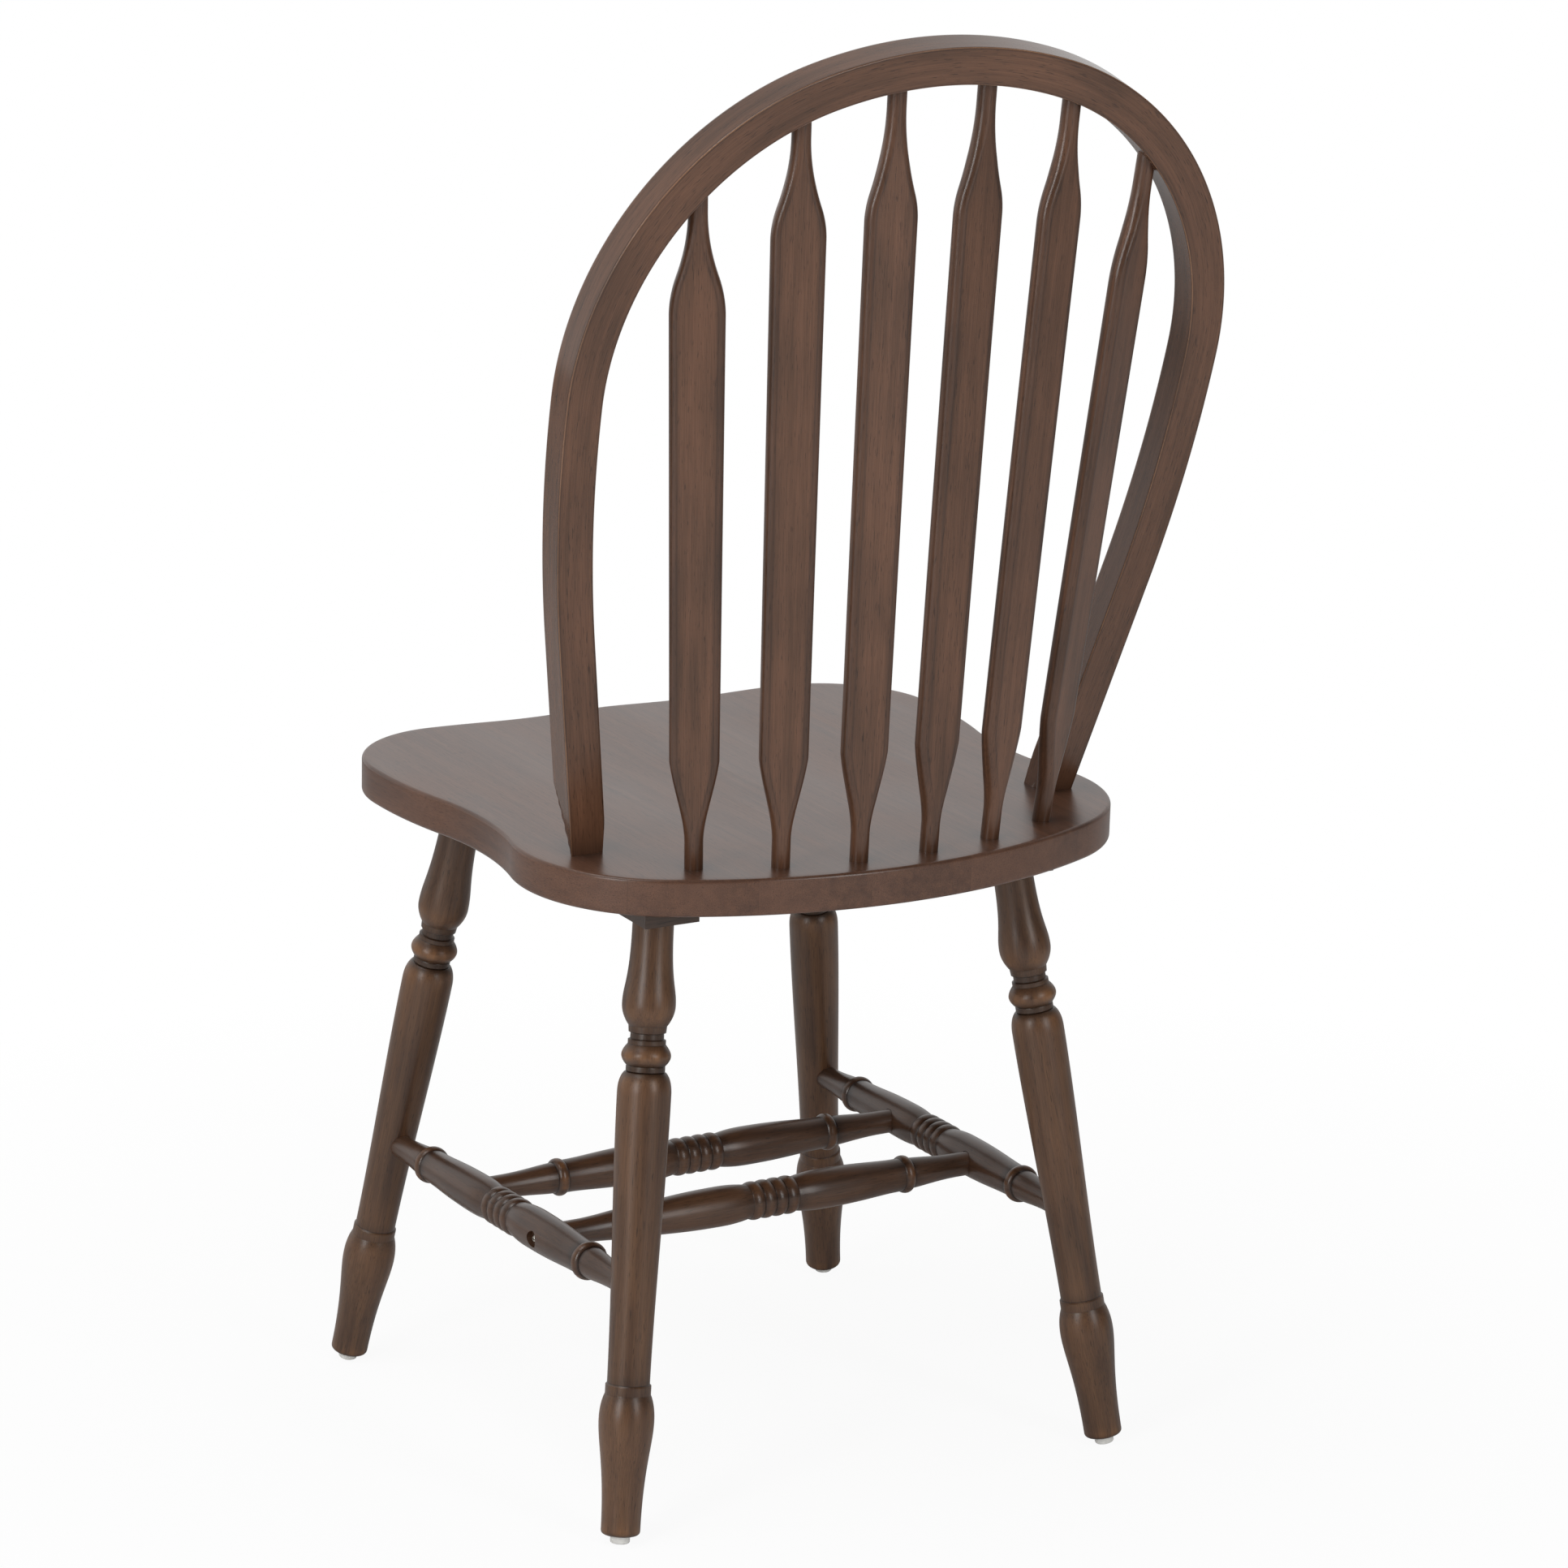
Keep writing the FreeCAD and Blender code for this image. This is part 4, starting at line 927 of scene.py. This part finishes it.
# %% Two side stretchers, stained darker than the others
SIDE_GLAZE = 0.3
RECESS_GLAZE = 0.1
RECESS_DEPTH = 0.3
front_end, rear_end = side_ends["front"], side_ends["rear"]
half = np.linalg.norm(rear_end - front_end) / 2
profile = turned_profile(stretcher_stations(half, half - SIDE_RING_TO_END))
stain_and_shade, wear_and_highlight = hollows_and_beads(*profile)
for hand, side in SIDES.items():
    name = f"side_stretcher_{hand}"
    vertices, triangles = joined_copy(name)
    start = mirrored(front_end + unit(rear_end - front_end) * TENON_REACH, side)
    across, through, up = axes_along(start, mirrored(rear_end, side))
    where = (vertices - start) @ np.column_stack([across, through, up])
    stain_and_shade_amount = np.interp(where[:, 2], profile[0], stain_and_shade)
    rubbed = np.interp(where[:, 2], profile[0], wear_and_highlight)
    surface_radius = np.interp(where[:, 2], profile[0], profile[1])
    sunk = np.hypot(where[:, 0], where[:, 1]) < surface_radius - RECESS_DEPTH
    stain_and_shade_amount = np.where(sunk, RECESS_GLAZE, np.maximum(stain_and_shade_amount, SIDE_GLAZE))
    piece = wooden(f"{name}_surface", vertices, triangles, where, stain_and_shade_amount, rubbed)
    stand_for(piece, name, stretcher_wood)

# %% [markdown]
# ## Blocks, glides and fasteners
# Under the seat each leg passes through a screwed block of the same hardwood. The feet stand on white
# moulded glides, and the screws are zinc-plated steel, duller than chrome, with a faint scratchy grey.

# %% Seat blocks
for end in LEGS:
    for hand in SIDES:
        name = f"seat_block_{end}_{hand}"
        vertices, triangles = joined_copy(name)
        where = (vertices - seat_origin) @ seat_axes.T
        piece = wooden(f"{name}_surface", vertices, triangles, where[:, [1, 2, 0]])
        stand_for(piece, name, block_wood)

# %% Moulded plastic and zinc-plated steel
def speckled(name, scale, detail, colours, roughness, **surface):
    """A material whose colour and roughness both follow one fine noise."""
    material, tree, output = blank_material(name)
    place = add(tree, "ShaderNodeTexCoord").outputs["Object"]
    noise = {"Vector": place, "Scale": scale, "Detail": detail}
    marks = add(tree, "ShaderNodeTexNoise", noise).outputs["Fac"]
    surface["Base Color"] = mixed(tree, marks, *(linear(colour) for colour in colours))
    surface["Roughness"] = ranged(tree, marks, 0, 1, *roughness)
    shader = add(tree, "ShaderNodeBsdfPrincipled", surface)
    tree.links.new(shader.outputs[0], output.inputs[0])
    return material


PLASTIC_COLOURS = ("#dcdad5", "#efeeea")
STEEL_COLOURS = ("#a5a29b", "#d6d3cb")
glide_plastic = speckled(
    "moulded_white_polyethylene", 420.0, 3.0, PLASTIC_COLOURS, (0.35, 0.55), IOR=1.51
)
plated_steel = speckled("zinc_plated_steel", 900.0, 4.0, STEEL_COLOURS, (0.28, 0.5), Metallic=1.0)

# %% Glides, nails and screws
glide_names = [f"glide_{end}_{hand}" for end in LEGS for hand in SIDES]
small_parts = {name: ("plastic_glide", glide_plastic) for name in glide_names}
for name in ("glide_nails", "block_screws", "stretcher_screws"):
    small_parts[name] = ("steel_fastener", plated_steel)
for name, (slot, material) in small_parts.items():
    vertices, triangles = joined_copy(name)
    piece = wooden(f"{name}_surface", vertices, triangles, vertices)
    stand_for(piece, name, material)

# %% [markdown]
# ## Floor, background and light
# The chair was photographed on white. The floor and the world look white to the camera, while the
# lamps stay at a plain level. In reflections the white backdrop lies ahead of the camera and the room
# behind it is dim, so upright faces stay deep brown and faces seen at a slant take on a sheen. Two tall
# strip lamps to the left and right draw the two highlights that run up each turned leg.

# %% Floor
FLOOR_RADIUS = 9.0
FLOOR_SIDES = 64
WHITE = linear("#ffffff")
floor_mesh = bpy.data.meshes.new("studio_floor")
angle = np.linspace(0, 2 * np.pi, FLOOR_SIDES, endpoint=False)
rim = np.column_stack([np.cos(angle), np.sin(angle), np.zeros(FLOOR_SIDES)]) * FLOOR_RADIUS
floor_mesh.from_pydata(rim.tolist(), [], [list(range(FLOOR_SIDES))])
floor = bpy.data.objects.new("studio_floor", floor_mesh)
scene.collection.objects.link(floor)
floor_paint, tree, output = blank_material("white_studio_floor")
path = add(tree, "ShaderNodeLightPath")
place = add(tree, "ShaderNodeTexCoord").outputs["Object"]
distance = add(tree, "ShaderNodeVectorMath", {0: place}, operation="LENGTH").outputs["Value"]
whiteness = ranged(tree, distance, 0.3, 1.1, 0.93, 1.0)
share = calculated(tree, "MULTIPLY", path.outputs["Is Camera Ray"], whiteness)
matt = add(tree, "ShaderNodeBsdfDiffuse", {"Color": linear("#f4f4f4")}).outputs[0]
glow = add(tree, "ShaderNodeEmission", {"Color": WHITE, "Strength": 1.0}).outputs[0]
floor_mix = add(tree, "ShaderNodeMixShader", {0: share, 1: matt, 2: glow})
tree.links.new(floor_mix.outputs[0], output.inputs[0])
floor_mesh.materials.append(floor_paint)

# %% World and lamps
ROOM_LIGHT = 0.3
BACKDROP_MIRRORED = 1.0
ROOM_MIRRORED = 0.07
CHAIR_MIDDLE = (0, 0, 0.5)
ABOVE_SEAT = (0, 0, 0.6)
world = bpy.data.worlds.new("white_studio")
world.use_nodes = True
scene.world = world
tree = world.node_tree
tree.nodes.clear()
path = add(tree, "ShaderNodeLightPath").outputs
direct = calculated(tree, "MAXIMUM", path["Is Camera Ray"], path["Is Transmission Ray"])
way = add(tree, "ShaderNodeTexCoord").outputs["Generated"]
towards_camera = add(tree, "ShaderNodeSeparateXYZ", {0: way}).outputs["Y"]
mirrored_light = ranged(tree, towards_camera, -0.8, 0.3, BACKDROP_MIRRORED, ROOM_MIRRORED)
strengths = {0: path["Is Glossy Ray"], 2: ROOM_LIGHT, 3: mirrored_light}
strength = add(tree, "ShaderNodeMix", strengths).outputs[0]
room = add(tree, "ShaderNodeBackground", {"Color": WHITE, "Strength": strength}).outputs[0]
white = add(tree, "ShaderNodeBackground", {"Color": WHITE, "Strength": 1.0}).outputs[0]
sky = add(tree, "ShaderNodeMixShader", {0: direct, 1: room, 2: white}).outputs[0]
add(tree, "ShaderNodeOutputWorld", {0: sky})


def soft_lamp(name, place, target, width, height, power):
    """A rectangular lamp that faces a point."""
    light = bpy.data.lights.new(name, "AREA")
    light.shape = "RECTANGLE"
    light.size = width
    light.size_y = height
    light.energy = power
    lamp = bpy.data.objects.new(name, light)
    away = unit(np.array(place) - np.array(target))
    across = unit(np.cross([0, 0, 1], away))
    turned_to = np.eye(4)
    turned_to[:3, :3] = np.column_stack([across, np.cross(away, across), away])
    turned_to[:3, 3] = place
    lamp.matrix_world = Matrix(turned_to.tolist())
    scene.collection.objects.link(lamp)


soft_lamp("left_strip_lamp", (3.0, 1.35, 1.5), CHAIR_MIDDLE, width=0.7, height=2.0, power=42)
soft_lamp("right_strip_lamp", (-0.8, 3.2, 1.6), CHAIR_MIDDLE, width=0.6, height=2.0, power=32)
soft_lamp("top_lamp", (1.1, 0.1, 3.1), ABOVE_SEAT, width=1.3, height=1.3, power=26)
scene.view_settings.view_transform = "Standard"
